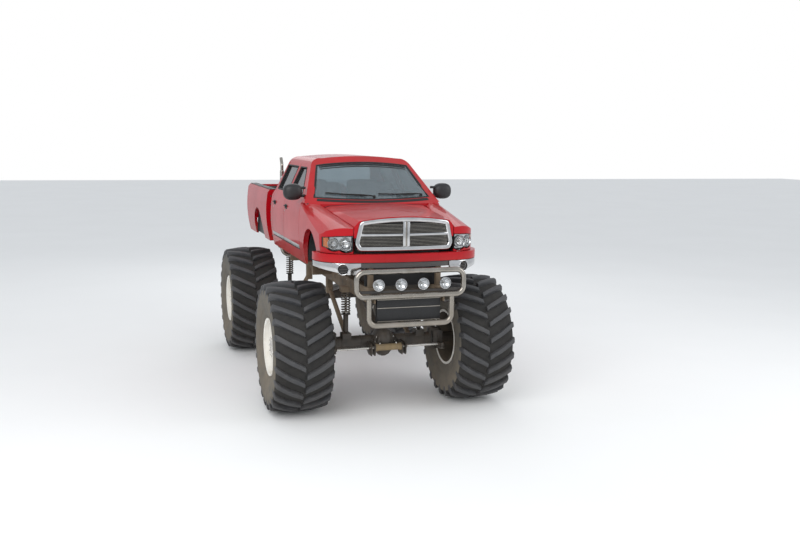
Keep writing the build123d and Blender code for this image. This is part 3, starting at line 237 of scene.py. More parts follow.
def makeMaterial(name, colour, roughness, second=None, metallic=0.0, coat=0.0, specular=0.5, transmission=0.0,
                 scale=6.0, grain=220.0, roughSpread=0.08, dust=0.0, dustLow=0.9, dustHigh=2.2, bump=0.0,
                 bumpDepth=0.001, scratch=0.0):
    # a surface that wanders between two tones, with road dust, hairlines and a grain where they are asked for
    material = bpy.data.materials.new(name)
    material.use_nodes = True
    tree = material.node_tree
    shader = tree.nodes["Principled BSDF"]
    shader.inputs["Metallic"].default_value = metallic
    shader.inputs["Coat Weight"].default_value = coat
    shader.inputs["Coat Roughness"].default_value = 0.04
    shader.inputs["Transmission Weight"].default_value = transmission
    shader.inputs["IOR"].default_value = 1.5
    shader.inputs["Specular IOR Level"].default_value = specular
    place = tree.nodes.new("ShaderNodeTexCoord").outputs["Object"]
    wear = addGroup(tree, wearGroup, place, Scale=scale, Grain=grain)
    surface = addMix(tree, wear["Tone"], colour, second or tuple(part * 0.86 for part in colour))
    rough = addRange(tree, wear["Tone"], 0, 1, roughness, roughness + roughSpread)
    if scratch:
        lines = addGroup(tree, scratchGroup, place)
        rough = addMath(tree, "ADD", rough, addMath(tree, "MULTIPLY", lines["Mask"], scratch), True)
    if dust:
        settled = addGroup(tree, dustGroup, place, Low=dustLow, High=dustHigh, Amount=dust)["Mask"]
        surface = addMix(tree, settled, surface, dustTone)
        rough = addMath(tree, "ADD", rough, addMath(tree, "MULTIPLY", settled, 0.45), True)
        bare = addMath(tree, "SUBTRACT", 1.0, settled, True)
        for label, value in (("Coat Weight", coat), ("Metallic", metallic)):
            if value:
                tree.links.new(addMath(tree, "MULTIPLY", bare, value), shader.inputs[label])
    tree.links.new(surface, shader.inputs["Base Color"])
    tree.links.new(rough, shader.inputs["Roughness"])
    if bump:
        relief = tree.nodes.new("ShaderNodeBump")
        relief.inputs["Strength"].default_value = bump
        relief.inputs["Distance"].default_value = bumpDepth
        tree.links.new(wear["Grain"], relief.inputs["Height"])
        tree.links.new(relief.outputs["Normal"], shader.inputs["Normal"])
    return material


redPaint = makeMaterial("redPaint", (0.46, 0.0015, 0.008), 0.36, second=(0.38, 0.001, 0.006), coat=0.45,
                        specular=0.15, dust=0.22, dustLow=1.78, dustHigh=2.10, scale=2.2, roughSpread=0.05)
chrome = makeMaterial("chrome", (0.64, 0.64, 0.65), 0.06, metallic=1.0, second=(0.52, 0.52, 0.52), scale=9,
                      roughSpread=0.08, scratch=0.08)
stainless = makeMaterial("stainless", (0.40, 0.375, 0.34), 0.17, metallic=1.0, second=(0.30, 0.275, 0.24),
                         scale=7, scratch=0.18, dust=0.25, dustLow=1.2, dustHigh=1.9)
creamWheel = makeMaterial("creamWheel", (0.86, 0.84, 0.79), 0.36, second=(0.76, 0.72, 0.64), dust=0.25,
                          dustLow=0.2, dustHigh=1.5, scale=8, coat=0.2)
# painted shade: a dark tone for the rim's hidden inside, its hand holes and the frame rails' holes, with real
# road dust on it
paintedShadeDark = makeMaterial("paintedShadeDark", (0.06, 0.055, 0.05), 0.5, second=(0.10, 0.085, 0.07), dust=0.6,
                         dustLow=0.4, dustHigh=1.5)
treadRubber = makeMaterial("treadRubber", (0.038, 0.040, 0.045), 0.55, second=(0.060, 0.061, 0.065),
                           dust=0.06, dustLow=0.0, dustHigh=2.6, bump=0.5, bumpDepth=0.002, scale=12,
                           grain=90)
# painted shade: the tread's floor between the lugs is a darker rubber than the lugs themselves, standing in
# for the shade in those recesses
shadedTreadFloor = makeMaterial("shadedTreadFloor", (0.017, 0.017, 0.017), 0.85, second=(0.030, 0.029, 0.028),
                           dust=0.04, dustLow=0.0, dustHigh=2.6, bump=0.5, bumpDepth=0.002, scale=14,
                           grain=90)
sideRubber = makeMaterial("sideRubber", (0.082, 0.080, 0.073), 0.8, second=(0.125, 0.118, 0.100), dust=0.35,
                          dustLow=0.3, dustHigh=2.6, bump=0.4, bumpDepth=0.0015, scale=5, grain=60)
chassisTan = makeMaterial("chassisTan", (0.17, 0.12, 0.075), 0.62, second=(0.09, 0.062, 0.04), dust=0.65,
                          dustLow=1.0, dustHigh=2.4, bump=0.35, bumpDepth=0.0015, scale=5)
chassisBlack = makeMaterial("chassisBlack", (0.018, 0.017, 0.017), 0.42, second=(0.036, 0.031, 0.028),
                            dust=0.20, dustLow=0.6, dustHigh=2.0, bump=0.3, bumpDepth=0.0015, scale=7)
castMetal = makeMaterial("castMetal", (0.06, 0.055, 0.05), 0.6, second=(0.10, 0.085, 0.07), dust=0.35,
                         dustLow=0.8, dustHigh=2.2, bump=0.5, bumpDepth=0.002)
springPaint = makeMaterial("springPaint", (0.035, 0.033, 0.032), 0.4, second=(0.07, 0.06, 0.05), dust=0.4)
blackPlastic = makeMaterial("blackPlastic", (0.016, 0.016, 0.017), 0.42, bump=0.25, bumpDepth=0.0004,
                            grain=500)
greyPlastic = makeMaterial("greyPlastic", (0.060, 0.060, 0.064), 0.5, dust=0.15, dustLow=1.8, dustHigh=2.3)
mouldGrey = makeMaterial("mouldGrey", (0.34, 0.34, 0.345), 0.35, second=(0.25, 0.245, 0.24), coat=0.3)
sealRubber = makeMaterial("sealRubber", (0.010, 0.010, 0.010), 0.6)
cabinTrim = makeMaterial("cabinTrim", (0.05, 0.048, 0.045), 0.7, bump=0.3, bumpDepth=0.0006, grain=400)
seatFabric = makeMaterial("seatFabric", (0.10, 0.095, 0.09), 0.9, second=(0.075, 0.07, 0.066), bump=0.6,
                          bumpDepth=0.0008, grain=900, scale=20)
screenGlass = makeMaterial("screenGlass", (0.42, 0.50, 0.54), 0.02, transmission=0.80, roughSpread=0.0,
                           second=(0.38, 0.46, 0.50), specular=0.9)
sideGlass = makeMaterial("sideGlass", (0.10, 0.115, 0.12), 0.02, transmission=0.85, roughSpread=0.0)
clearLens = makeMaterial("clearLens", (0.95, 0.96, 0.97), 0.03, transmission=1.0, roughSpread=0.02)
reflector = makeMaterial("reflector", (0.70, 0.71, 0.72), 0.08, metallic=1.0, roughSpread=0.04)
bulbGlass = makeMaterial("bulbGlass", (0.98, 0.97, 0.92), 0.15)
amberLens = makeMaterial("amberLens", (0.80, 0.24, 0.03), 0.12, coat=1.0, second=(0.70, 0.18, 0.02))
tailLens = makeMaterial("tailLens", (0.42, 0.006, 0.010), 0.12, coat=1.0, bump=0.5, bumpDepth=0.001,
                        grain=160)
whiteLens = makeMaterial("whiteLens", (0.72, 0.72, 0.70), 0.15, coat=1.0)
rodChrome = makeMaterial("rodChrome", (0.74, 0.72, 0.68), 0.14, metallic=1.0, dust=0.3, dustLow=0.4,
                         dustHigh=1.4)
barrelTan = makeMaterial("barrelTan", (0.30, 0.21, 0.09), 0.55, second=(0.20, 0.14, 0.07), dust=0.5,
                         dustLow=0.5, dustHigh=1.3)
mirrorGlass = makeMaterial("mirrorGlass", (0.7, 0.72, 0.74), 0.02, metallic=1.0, roughSpread=0.0)
print("materials made")


# Mesh helpers
def makePiece(name, bm, materials, body, replaced=(), smoothAngle=32):
    # a finished mesh: smooth faces, sharp edges by angle, riding on its body in place of the replaced nodes
    bmesh.ops.translate(bm, vec=(0, -middleY, 0), verts=bm.verts)
    limit = math.radians(smoothAngle)
    for face in bm.faces:
        face.smooth = True
    for edge in bm.edges:
        edge.smooth = len(edge.link_faces) == 2 and edge.calc_face_angle(0) < limit
    mesh = bpy.data.meshes.new(name)
    bm.to_mesh(mesh)
    bm.free()
    for material in materials:
        mesh.materials.append(material)
    piece = bpy.data.objects.new(name, mesh)
    bpy.context.collection.objects.link(piece)
    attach(piece, body)
    if replaced:
        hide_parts(*replaced)
    return piece


def copyNode(node):
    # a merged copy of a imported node's triangles, drawn back to the front axle's y
    bm = bmesh.new()
    bm.from_mesh(frame["nodes"][node].data)
    for layer in list(bm.loops.layers.uv.values()):
        bm.loops.layers.uv.remove(layer)
    bmesh.ops.remove_doubles(bm, verts=bm.verts, dist=0.00002)
    bmesh.ops.dissolve_limit(bm, angle_limit=math.radians(1.5), verts=bm.verts, edges=bm.edges)
    bmesh.ops.translate(bm, vec=(0, middleY, 0), verts=bm.verts)
    return bm


def bevelEdges(bm, edges, width, segments=2):
    bmesh.ops.bevel(bm, geom=list(edges), offset=width, offset_type="OFFSET", segments=segments, profile=0.5,
                    affect="EDGES", material=-1, clamp_overlap=True)


def softenEdges(bm, width, segments=2, sharpAngle=32):
    limit = math.radians(sharpAngle)
    sharp = [edge for edge in bm.edges if len(edge.link_faces) == 2 and edge.calc_face_angle(0) > limit]
    bevelEdges(bm, sharp, width, segments)


def dressNode(node, material):
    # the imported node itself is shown, with its exact surface normals
    node = frame["nodes"][node]
    node.data.materials.clear()
    node.data.materials.append(material)


def setMaterial(faces, index):
    for face in faces:
        face.material_index = index


def newFaces(bm, before):
    return [face for face in bm.faces if face not in before]


def vertsOf(faces):
    return list({vert for face in faces for vert in face.verts})


def mirrorAcross(bm, verts, faces):
    # to the other side of x = 0, with the faces still pointing outwards
    bmesh.ops.scale(bm, vec=(-1, 1, 1), verts=verts)
    bmesh.ops.reverse_faces(bm, faces=faces)


def skinRings(bm, rings, index=0, endless=False, looped=True):
    # quads between neighbouring rings of vertices. An endless skin joins its last ring to its first,
    # any other skin is capped. A looped ring joins its last vertex to its first.
    before = set(bm.faces)
    pairs = list(zip(rings, rings[1:]))
    if endless:
        pairs.append((rings[-1], rings[0]))
    else:
        bm.faces.new(rings[0][::-1])
        bm.faces.new(rings[-1])
    count = len(rings[0])
    for near, far in pairs:
        for item in range(count if looped else count - 1):
            follow = (item + 1) % count
            bm.faces.new((near[item], near[follow], far[follow], far[item]))
    faces = newFaces(bm, before)
    bmesh.ops.recalc_face_normals(bm, faces=faces)
    setMaterial(faces, index)
    return faces


def addBox(bm, low, high, bevel=0.0, index=0, turn=None, segments=2):
    # a box between two corners, its edges rounded; turn rotates it about its middle
    before = set(bm.faces)
    made = bmesh.ops.create_cube(bm, size=1)["verts"]
    low, high = Vector(low), Vector(high)
    size = high - low
    bmesh.ops.scale(bm, vec=(abs(size.x), abs(size.y), abs(size.z)), verts=made)
    if bevel:
        bevelEdges(bm, {edge for vert in made for edge in vert.link_edges}, bevel, segments)
    faces = newFaces(bm, before)
    made = vertsOf(faces)
    if turn is not None:
        bmesh.ops.rotate(bm, cent=(0, 0, 0), matrix=turn, verts=made)
    bmesh.ops.translate(bm, vec=(low + high) / 2, verts=made)
    setMaterial(faces, index)
    return faces


def addSideBox(bm, side, low, high, bevel=0.0, index=0, segments=2):
    # the same, with its x counted outwards on one side of the truck
    near, far = sorted((side * low[0], side * high[0]))
    return addBox(bm, (near, *low[1:]), (far, *high[1:]), bevel, index, None, segments)


def addRod(bm, start, end, radius, radiusEnd=None, segments=32, index=0, bevel=0.0):
    # a round bar or cone between two points
    before = set(bm.faces)
    start, end = Vector(start), Vector(end)
    way = end - start
    radiusEnd = radius if radiusEnd is None else radiusEnd
    made = bmesh.ops.create_cone(bm, cap_ends=True, cap_tris=False, segments=segments, radius1=radius,
                                 radius2=radiusEnd, depth=way.length)["verts"]
    if bevel:
        edges = {edge for vert in made for edge in vert.link_edges}
        bevelEdges(bm, [edge for edge in edges
                        if abs(edge.verts[0].co.z - edge.verts[1].co.z) < way.length / 2], bevel)
    faces = newFaces(bm, before)
    made = vertsOf(faces)
    bmesh.ops.rotate(bm, cent=(0, 0, 0), matrix=way.to_track_quat("Z", "Y").to_matrix(), verts=made)
    bmesh.ops.translate(bm, vec=(start + end) / 2, verts=made)
    setMaterial(faces, index)
    return faces


def addLathe(bm, profile, centre, way, segments=48, index=0, close=False):
    # profile rows are (along, radius), spun about the line from centre along way
    before = set(bm.faces)
    verts = [bm.verts.new((radius, 0, along)) for along, radius in profile]
    edges = [bm.edges.new(pair) for pair in zip(verts, verts[1:])]
    if close:
        edges.append(bm.edges.new((verts[-1], verts[0])))
    bmesh.ops.spin(bm, geom=verts + edges, cent=(0, 0, 0), axis=(0, 0, 1), angle=math.tau, steps=segments,
                   use_merge=True, use_duplicate=False)
    bmesh.ops.remove_doubles(bm, verts=vertsOf(newFaces(bm, before)), dist=0.00001)
    faces = newFaces(bm, before)
    bmesh.ops.recalc_face_normals(bm, faces=faces)
    made = vertsOf(faces)
    turn = Vector(way).to_track_quat("Z", "Y").to_matrix()
    bmesh.ops.rotate(bm, cent=(0, 0, 0), matrix=turn, verts=made)
    bmesh.ops.translate(bm, vec=centre, verts=made)
    setMaterial(faces, index)
    return faces


def tubeStations(points, bend, steps, closed=False):
    # places and directions along straight runs joined by round bends
    corners = [Vector(point) for point in points]
    count = len(corners)
    stations = []
    for place in range(count):
        before, after = corners[place - 1], corners[(place + 1) % count]
        here = corners[place]
        if not closed and place in (0, count - 1):
            way = (after - here if place == 0 else here - before).normalized()
            stations.append((here, way))
            continue
        into, out = (here - before).normalized(), (after - here).normalized()
        angle = into.angle(out)
        if angle < 0.01:
            continue
        hinge = into.cross(out).normalized()
        start = here - into * bend * math.tan(angle / 2)
        centre = start + hinge.cross(into) * bend
        for step in range(steps + 1):
            turn = Matrix.Rotation(angle * step / steps, 3, hinge)
            stations.append((centre + turn @ (start - centre), turn @ into))
    return stations


def addTube(bm, points, radius, bend=0.05, segments=20, steps=8, closed=False, index=0, stations=None):
    # a round tube through the points, or through stations of (place, way); its ends are capped
    circle = bmesh.ops.create_circle(bm, segments=segments, radius=radius)["verts"]
    home = [vert.co.copy() for vert in circle]
    bmesh.ops.delete(bm, geom=circle, context="VERTS")
    rings, turn, earlier = [], None, None
    for place, way in stations or tubeStations(points, bend, steps, closed):
        way = way.normalized()
        if turn is None:
            turn = way.to_track_quat("Z", "Y").to_matrix()
        else:
            turn = earlier.rotation_difference(way).to_matrix() @ turn
        earlier = way
        rings.append([bm.verts.new(place + turn @ spot) for spot in home])
    return skinRings(bm, rings, index, closed)


def addPlate(bm, outline, origin, across, upward, thickness, bevel=0.0, index=0):
    # a flat plate of that outline, drawn in the directions across and upward, its thickness behind it
    before = set(bm.faces)
    across, upward = Vector(across), Vector(upward)
    deep = across.cross(upward) * thickness
    face = bm.faces.new([bm.verts.new(Vector(origin) + across * u + upward * v) for u, v in outline])
    made = bmesh.ops.extrude_face_region(bm, geom=[face])["geom"]
    bmesh.ops.translate(bm, vec=-deep, verts=[item for item in made if isinstance(item, bmesh.types.BMVert)])
    faces = newFaces(bm, before)
    bmesh.ops.recalc_face_normals(bm, faces=faces)
    if bevel:
        bevelEdges(bm, {edge for face in faces for edge in face.edges}, bevel)
    setMaterial(newFaces(bm, before), index)


def addBolts(bm, places, way, radius, height, index=0):
    # six-sided heads
    way = Vector(way).normalized()
    for place in places:
        addRod(bm, Vector(place) - way * 0.002, Vector(place) + way * height, radius, segments=6, index=index,
               bevel=radius * 0.14)


def ringOf(count, radius, centre, way, start=0.0):
    # evenly spaced places on a circle round a line
    turn = Vector(way).to_track_quat("Z", "Y").to_matrix()
    angles = [start + math.tau * item / count for item in range(count)]
    return [Vector(centre) + turn @ Vector((math.cos(angle) * radius, math.sin(angle) * radius, 0))
            for angle in angles]


# The nose in plan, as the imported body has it
nosePlan = {
    "middleY": -0.925,
    "shoulderX": 0.640,
    "shoulderY": -0.862,
    "endX": 0.990,
    "endY": -0.470,
}


def circleThrough(first, second, third):
    # centre and radius of the circle through three points
    (ax, ay), (bx, by), (cx, cy) = first, second, third
    twice = 2 * (ax * (by - cy) + bx * (cy - ay) + cx * (ay - by))
    a, b, c = ax * ax + ay * ay, bx * bx + by * by, cx * cx + cy * cy
    ux = (a * (by - cy) + b * (cy - ay) + c * (ay - by)) / twice
    uy = (a * (cx - bx) + b * (ax - cx) + c * (bx - ax)) / twice
    return ux, uy, math.hypot(ax - ux, ay - uy)


def noseFront(x, proud=0.0):
    # y of the nose's surface at x; proud is how far ahead of it
    x = abs(x)
    shoulderX, shoulderY = nosePlan["shoulderX"], nosePlan["shoulderY"] - proud
    endX, endY = nosePlan["endX"], nosePlan["endY"]
    if x <= shoulderX:
        middle = (0, nosePlan["middleY"] - proud)
        ux, uy, radius = circleThrough(middle, (shoulderX, shoulderY), (-shoulderX, shoulderY))
        return uy - math.sqrt(max(radius * radius - x * x, 0))
    corner = math.sqrt(0.5)
    through = (shoulderX + (endX - shoulderX) * corner + proud * 0.6,
               endY + (nosePlan["shoulderY"] - endY) * corner - proud * 0.8)
    ux, uy, radius = circleThrough((endX + proud, endY), through, (shoulderX, shoulderY))
    return uy - math.sqrt(max(radius * radius - (x - ux)**2, 0))


def bendToNose(faces, proud=0.0):
    # faces drawn flat with y as depth are laid along the nose's plan
    for vert in vertsOf(faces):
        vert.co.y += noseFront(vert.co.x, proud)


def splitAcross(bm, faces, step):
    # cuts faces at even x so that they can bend
    group = [face for face in faces if face.is_valid]
    reaches = [vert.co.x for vert in vertsOf(group)]
    low, high = min(reaches), max(reaches)
    count = int((high - low) / step)
    for item in range(1, count + 1):
        place = low + (high - low) * item / (count + 1)
        geom = group + list({edge for face in group for edge in face.edges}) + vertsOf(group)
        cut = bmesh.ops.bisect_plane(bm, geom=geom, plane_co=(place, 0, 0), plane_no=(1, 0, 0), dist=0.00005)
        group = [part for part in cut["geom"] if isinstance(part, bmesh.types.BMFace)]


print("helpers ready")


# Red body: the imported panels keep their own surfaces
redNodes = ["cab_shell", "fender_left", "fender_right", "hood", "bed", "tailgate", "bumper_cap"]
for side in ("left", "right"):
    redNodes += [f"door_front_{side}", f"door_rear_{side}"]
for node in redNodes:
    dressNode(node, redPaint)
dressNode("cowl", blackPlastic)
dressNode("cab_glass", screenGlass)
for side in ("left", "right"):
    dressNode(f"glass_front_{side}", sideGlass)
    dressNode(f"glass_rear_{side}", sideGlass)
print("body panels painted")


# Tyres
tyre = {
    "lugs": 24,            # bars on each half of the tread
    "tipX": 0.010,
    "endX": 0.352,
    "tipAhead": 0.118,     # a bar's tip ahead of its middle
    "endBehind": 0.082,
    "width": 0.060,
    "top": 0.834,          # radius of the bars' tops
    "shoulderFall": 0.036,
    "crown": 0.786,
    "shoulder": 0.745,
    "bead": 0.352,
    "halfTrack": 1.190,
    "flare": 0.010,        # how much wider a bar's foot is, each way
    "sideInner": 0.335,    # a bar's foot on the sidewall
    # on the sidewall: across, arc behind the shoulder's, top and foot radius, share of the width
    "sideRows": ((0.3685, 0.004, 0.745, 0.700, 1.04), (0.3690, 0.006, 0.668, 0.640, 0.92)),
    "sideRadius": 0.730,   # inside this the carcass is sidewall
}


def wheelPoint(across, arc, radius):
    # a place on the wheel from its distance across, its arc along the tread and its radius
    angle = arc / tyre["crown"]
    return Vector((across, -math.sin(angle) * radius, math.cos(angle) * radius))


def lugMesh(bm):
    # one bar of the outer half: a curved path from the middle over the shoulder and down the sidewall
    rows = []                  # across at the top and at the foot, arc, top and foot radius, width
    for item in range(6):
        share = item / 5
        across = tyre["tipX"] + (tyre["endX"] - tyre["tipX"]) * share
        bow = math.sin(share * math.pi) * 0.020
        arc = tyre["tipAhead"] - (tyre["tipAhead"] + tyre["endBehind"]) * share**0.85 + bow
        top = tyre["top"] - tyre["shoulderFall"] * share**2.2
        foot = tyre["crown"] - (tyre["crown"] - tyre["shoulder"]) * share - 0.012
        rows.append((across, across, arc, top, foot, tyre["width"] * (0.86 + 0.24 * share)))
    for across, behind, top, foot, wide in tyre["sideRows"]:
        rows.append((across, tyre["sideInner"], arc - behind, top, foot, tyre["width"] * wide))
    rings = []
    for across, footAcross, place, top, foot, width in rows:
        low, high, flare = place - width / 2, place + width / 2, tyre["flare"]
        ring = [wheelPoint(footAcross, low - flare, foot), wheelPoint(across, low, top),
                wheelPoint(across, high, top), wheelPoint(footAcross, high + flare, foot)]
        rings.append([bm.verts.new(point) for point in ring])
    skinRings(bm, rings)
    softenEdges(bm, 0.005, 2, 30)


def awayFromAxle(face):
    middle = face.calc_center_median()
    return math.hypot(middle.y, middle.z)


def placeWheel(bm, x, y, outward):
    # a wheel drawn for the left side about the origin is put in its place
    if outward < 0:
        mirrorAcross(bm, bm.verts, bm.faces)
    bmesh.ops.translate(bm, vec=(x, y, axleZ), verts=bm.verts)


def makeTyre(end, side, x, y, outward):
    bm = bmesh.new()
    crown = tyre["crown"]
    section = [(0.0, crown), (0.10, crown - 0.003), (0.22, crown - 0.014), (0.30, 0.762),
               (0.345, tyre["shoulder"] - 0.006), (0.360, 0.722), (0.366, 0.690), (0.3672, 0.640),
               (0.3675, 0.600), (0.364, 0.592), (0.366, 0.584), (0.360, 0.540), (0.352, 0.500),
               (0.350, 0.494), (0.346, 0.490), (0.336, 0.445), (0.326, 0.410), (0.322, 0.404),
               (0.318, 0.400), (0.310, 0.378), (0.304, tyre["bead"])]
    profile = [(-across, radius) for across, radius in section[::-1]] + section[1:]
    # the carcass takes the darker tread floor, painted shade between the lugs, and the sidewall its own
    # rubber
    for face in addLathe(bm, profile, (0, 0, 0), (1, 0, 0), segments=96, index=1):
        if awayFromAxle(face) < tyre["sideRadius"]:
            face.material_index = 2
    lug = bmesh.new()
    lugMesh(lug)
    lugShape = bpy.data.meshes.new("lugShape")
    lug.to_mesh(lugShape)
    lug.free()
    step = math.tau / tyre["lugs"]
    for half, offset in ((1, 0.0), (-1, 0.5)):
        for item in range(tyre["lugs"]):
            oldVerts, oldFaces = set(bm.verts), set(bm.faces)
            bm.from_mesh(lugShape)
            made = [vert for vert in bm.verts if vert not in oldVerts]
            if half < 0:
                mirrorAcross(bm, made, newFaces(bm, oldFaces))
            turn = Matrix.Rotation(-(item + offset) * step, 3, "X")
            bmesh.ops.rotate(bm, cent=(0, 0, 0), matrix=turn, verts=made)
    bpy.data.meshes.remove(lugShape)
    placeWheel(bm, x, y, outward)
    makePiece(f"tyre_{end}_{side}_dress", bm, [treadRubber, shadedTreadFloor, sideRubber], f"wheel_{end}_{side}",
              [f"tyre_{end}_{side}"], smoothAngle=40)


# Wheels: deep steel rims with a hub and bolts
rim = {
    "discX": 0.246,
    "flangeX": 0.3125,
    "flange": 0.3715,
    "barrel": 0.345,
    "hubFace": 0.290,
    "hubRadius": 0.084,
    "bolts": 10,
    "boltCircle": 0.118,
    "slots": 8,
    "slotCircle": 0.232,
}


def makeRim(end, side, x, y, outward):
    bm = bmesh.new()
    flange, barrel, lip = rim["flange"], rim["barrel"], rim["flangeX"]
    disc, hub = rim["discX"], rim["hubFace"]
    along = (1, 0, 0)
    outer = [(lip - 0.006, flange - 0.002), (lip + 0.002, flange - 0.0004), (lip + 0.008, flange - 0.004),
             (lip + 0.006, flange - 0.014), (lip - 0.004, barrel - 0.006), (lip - 0.020, barrel - 0.010),
             (disc + 0.040, barrel - 0.014), (disc + 0.018, barrel - 0.020), (disc + 0.006, barrel - 0.040),
             (disc, 0.296), (disc + 0.002, 0.270), (disc + 0.004, 0.168), (disc + 0.006, 0.160),
             (disc + 0.028, 0.152), (disc + 0.034, 0.146), (disc + 0.036, 0.085), (hub - 0.002, 0.078),
             (hub, 0.070), (hub, 0.0)]
    for face in addLathe(bm, outer, (0, 0, 0), along, segments=80):
        if awayFromAxle(face) < rim["hubRadius"]:
            face.material_index = 1
    # the rim's inside, its barrel and the back of its disc, in the dark tone as painted shade; the inner
    # flange stays cream
    inner = [(0.006 - lip, flange - 0.002), (-lip - 0.004, flange - 0.0004), (-lip - 0.009, flange - 0.006),
             (-lip - 0.002, barrel - 0.006), (-0.240, barrel - 0.010), (0.10, barrel - 0.012),
             (disc - 0.02, barrel - 0.020), (disc - 0.012, 0.290), (disc - 0.012, 0.130), (0.10, 0.120),
             (-0.10, 0.118), (-0.129, 0.110), (-0.129, 0.072)]
    for face in addLathe(bm, inner, (0, 0, 0), along, segments=64, index=2):
        if awayFromAxle(face) > barrel - 0.004:
            face.material_index = 0
    out = Vector(along)
    for place in ringOf(rim["bolts"], rim["boltCircle"], (disc + 0.035, 0, 0), along):
        addRod(bm, place - out * 0.004, place + out * 0.006, 0.013, segments=6, index=1, bevel=0.002)
        addRod(bm, place, place + out * 0.012, 0.006, segments=10, index=1, bevel=0.001)
    # the hand holes: a cream lip around a dark disc, painted shade where a hole would be
    for place in ringOf(rim["slots"], rim["slotCircle"], (disc + 0.0035, 0, 0), along, 0.2):
        addLathe(bm, [(-0.001, 0.032), (0.004, 0.030), (0.004, 0.026), (-0.001, 0.024)], place, along, 24, 0)
        addRod(bm, place - out * 0.003, place + out * 0.0006, 0.025, segments=24, index=2)
    for place in ringOf(12, 0.055, (hub, 0, 0), along):
        addRod(bm, place - out * 0.002, place + out * 0.0015, 0.005, segments=6, index=1)
    valve = Vector((disc + 0.02, 0, barrel - 0.034))
    addRod(bm, valve, valve + Vector((0.035, 0, -0.006)), 0.005, segments=10, index=1, bevel=0.001)
    placeWheel(bm, x, y, outward)
    makePiece(f"rim_{end}_{side}_dress", bm, [creamWheel, rodChrome, paintedShadeDark], f"wheel_{end}_{side}",
              [f"rim_{end}_{side}"])


for end, y in (("front", 0.0), ("rear", rearY)):
    for side, outward in (("left", 1), ("right", -1)):
        makeTyre(end, side, outward * tyre["halfTrack"], y, outward)
        makeRim(end, side, outward * tyre["halfTrack"], y, outward)
print("wheels made")


# Outlines in the plane of the nose, as (x, z)
def roundOutline(corners, radius, steps=6):
    # a closed outline with its corners rounded
    outline = []
    count = len(corners)
    for item in range(count):
        here = Vector(corners[item])
        before, after = Vector(corners[item - 1]), Vector(corners[(item + 1) % count])
        into, out = (here - before), (after - here)
        reach = min(radius, into.length * 0.45, out.length * 0.45)
        start, end = here - into.normalized() * reach, here + out.normalized() * reach
        for step in range(steps + 1):
            share = step / steps
            outline.append(tuple(start * (1 - share)**2 + here * 2 * share * (1 - share) + end * share**2))
    return outline


def insetOutline(outline, amount):
    # moved inwards along the mean of the neighbouring edges' normals; outlines run anticlockwise
    moved = []
    count = len(outline)
    for item in range(count):
        here = Vector(outline[item])
        into = (here - Vector(outline[item - 1])).normalized()
        out = (Vector(outline[(item + 1) % count]) - here).normalized()
        normal = Vector((-into.y - out.y, into.x + out.x)).normalized()
        share = max(normal.dot(Vector((-into.y, into.x))), 0.5)
        moved.append(tuple(here + normal * amount / share))
    return moved


def addBand(bm, outline, profile, index=0):
    # profile rows are (inwards, forwards); the band follows the outline
    rings = [[bm.verts.new((x, -forwards, z)) for x, z in insetOutline(outline, inwards)]
             for inwards, forwards in profile]
    return skinRings(bm, rings, index, endless=True)


def addSheet(bm, outline, forwards, index=0):
    # a filled face in front view at one depth
    face = bm.faces.new([bm.verts.new((x, -forwards, z)) for x, z in outline])
    face.material_index = index
    return [face]


def arcTop(half, shoulder, top, steps=12):
    # points over an arched top edge, from +x to -x
    _, uz, radius = circleThrough((half, shoulder), (0, top), (-half, shoulder))
    reaches = [half - 2 * half * step / steps for step in range(1, steps)]
    return [(x, uz + math.sqrt(radius * radius - x * x)) for x in reaches]


# Grille
grille = {
    "bottomHalf": 0.580,
    "bottom": 2.140,
    "wideHalf": 0.625,
    "wide": 2.230,
    "shoulderHalf": 0.563,
    "shoulder": 2.497,
    "top": 2.545,
    "bar": 0.060,
    "proud": 0.018,
    "crossZ": 2.3365,
    "crossHalf": 0.014,
    "slats": 7,            # above the cross bar, and as many below it
    "slatInner": 0.040,
    "slatOuter": 0.566,    # at kneeZ, and less above it
    "slatTaper": 0.22,
    "slatLowOuter": 0.553,
    "kneeZ": 2.24,
    "slatHalf": 0.0021,
}


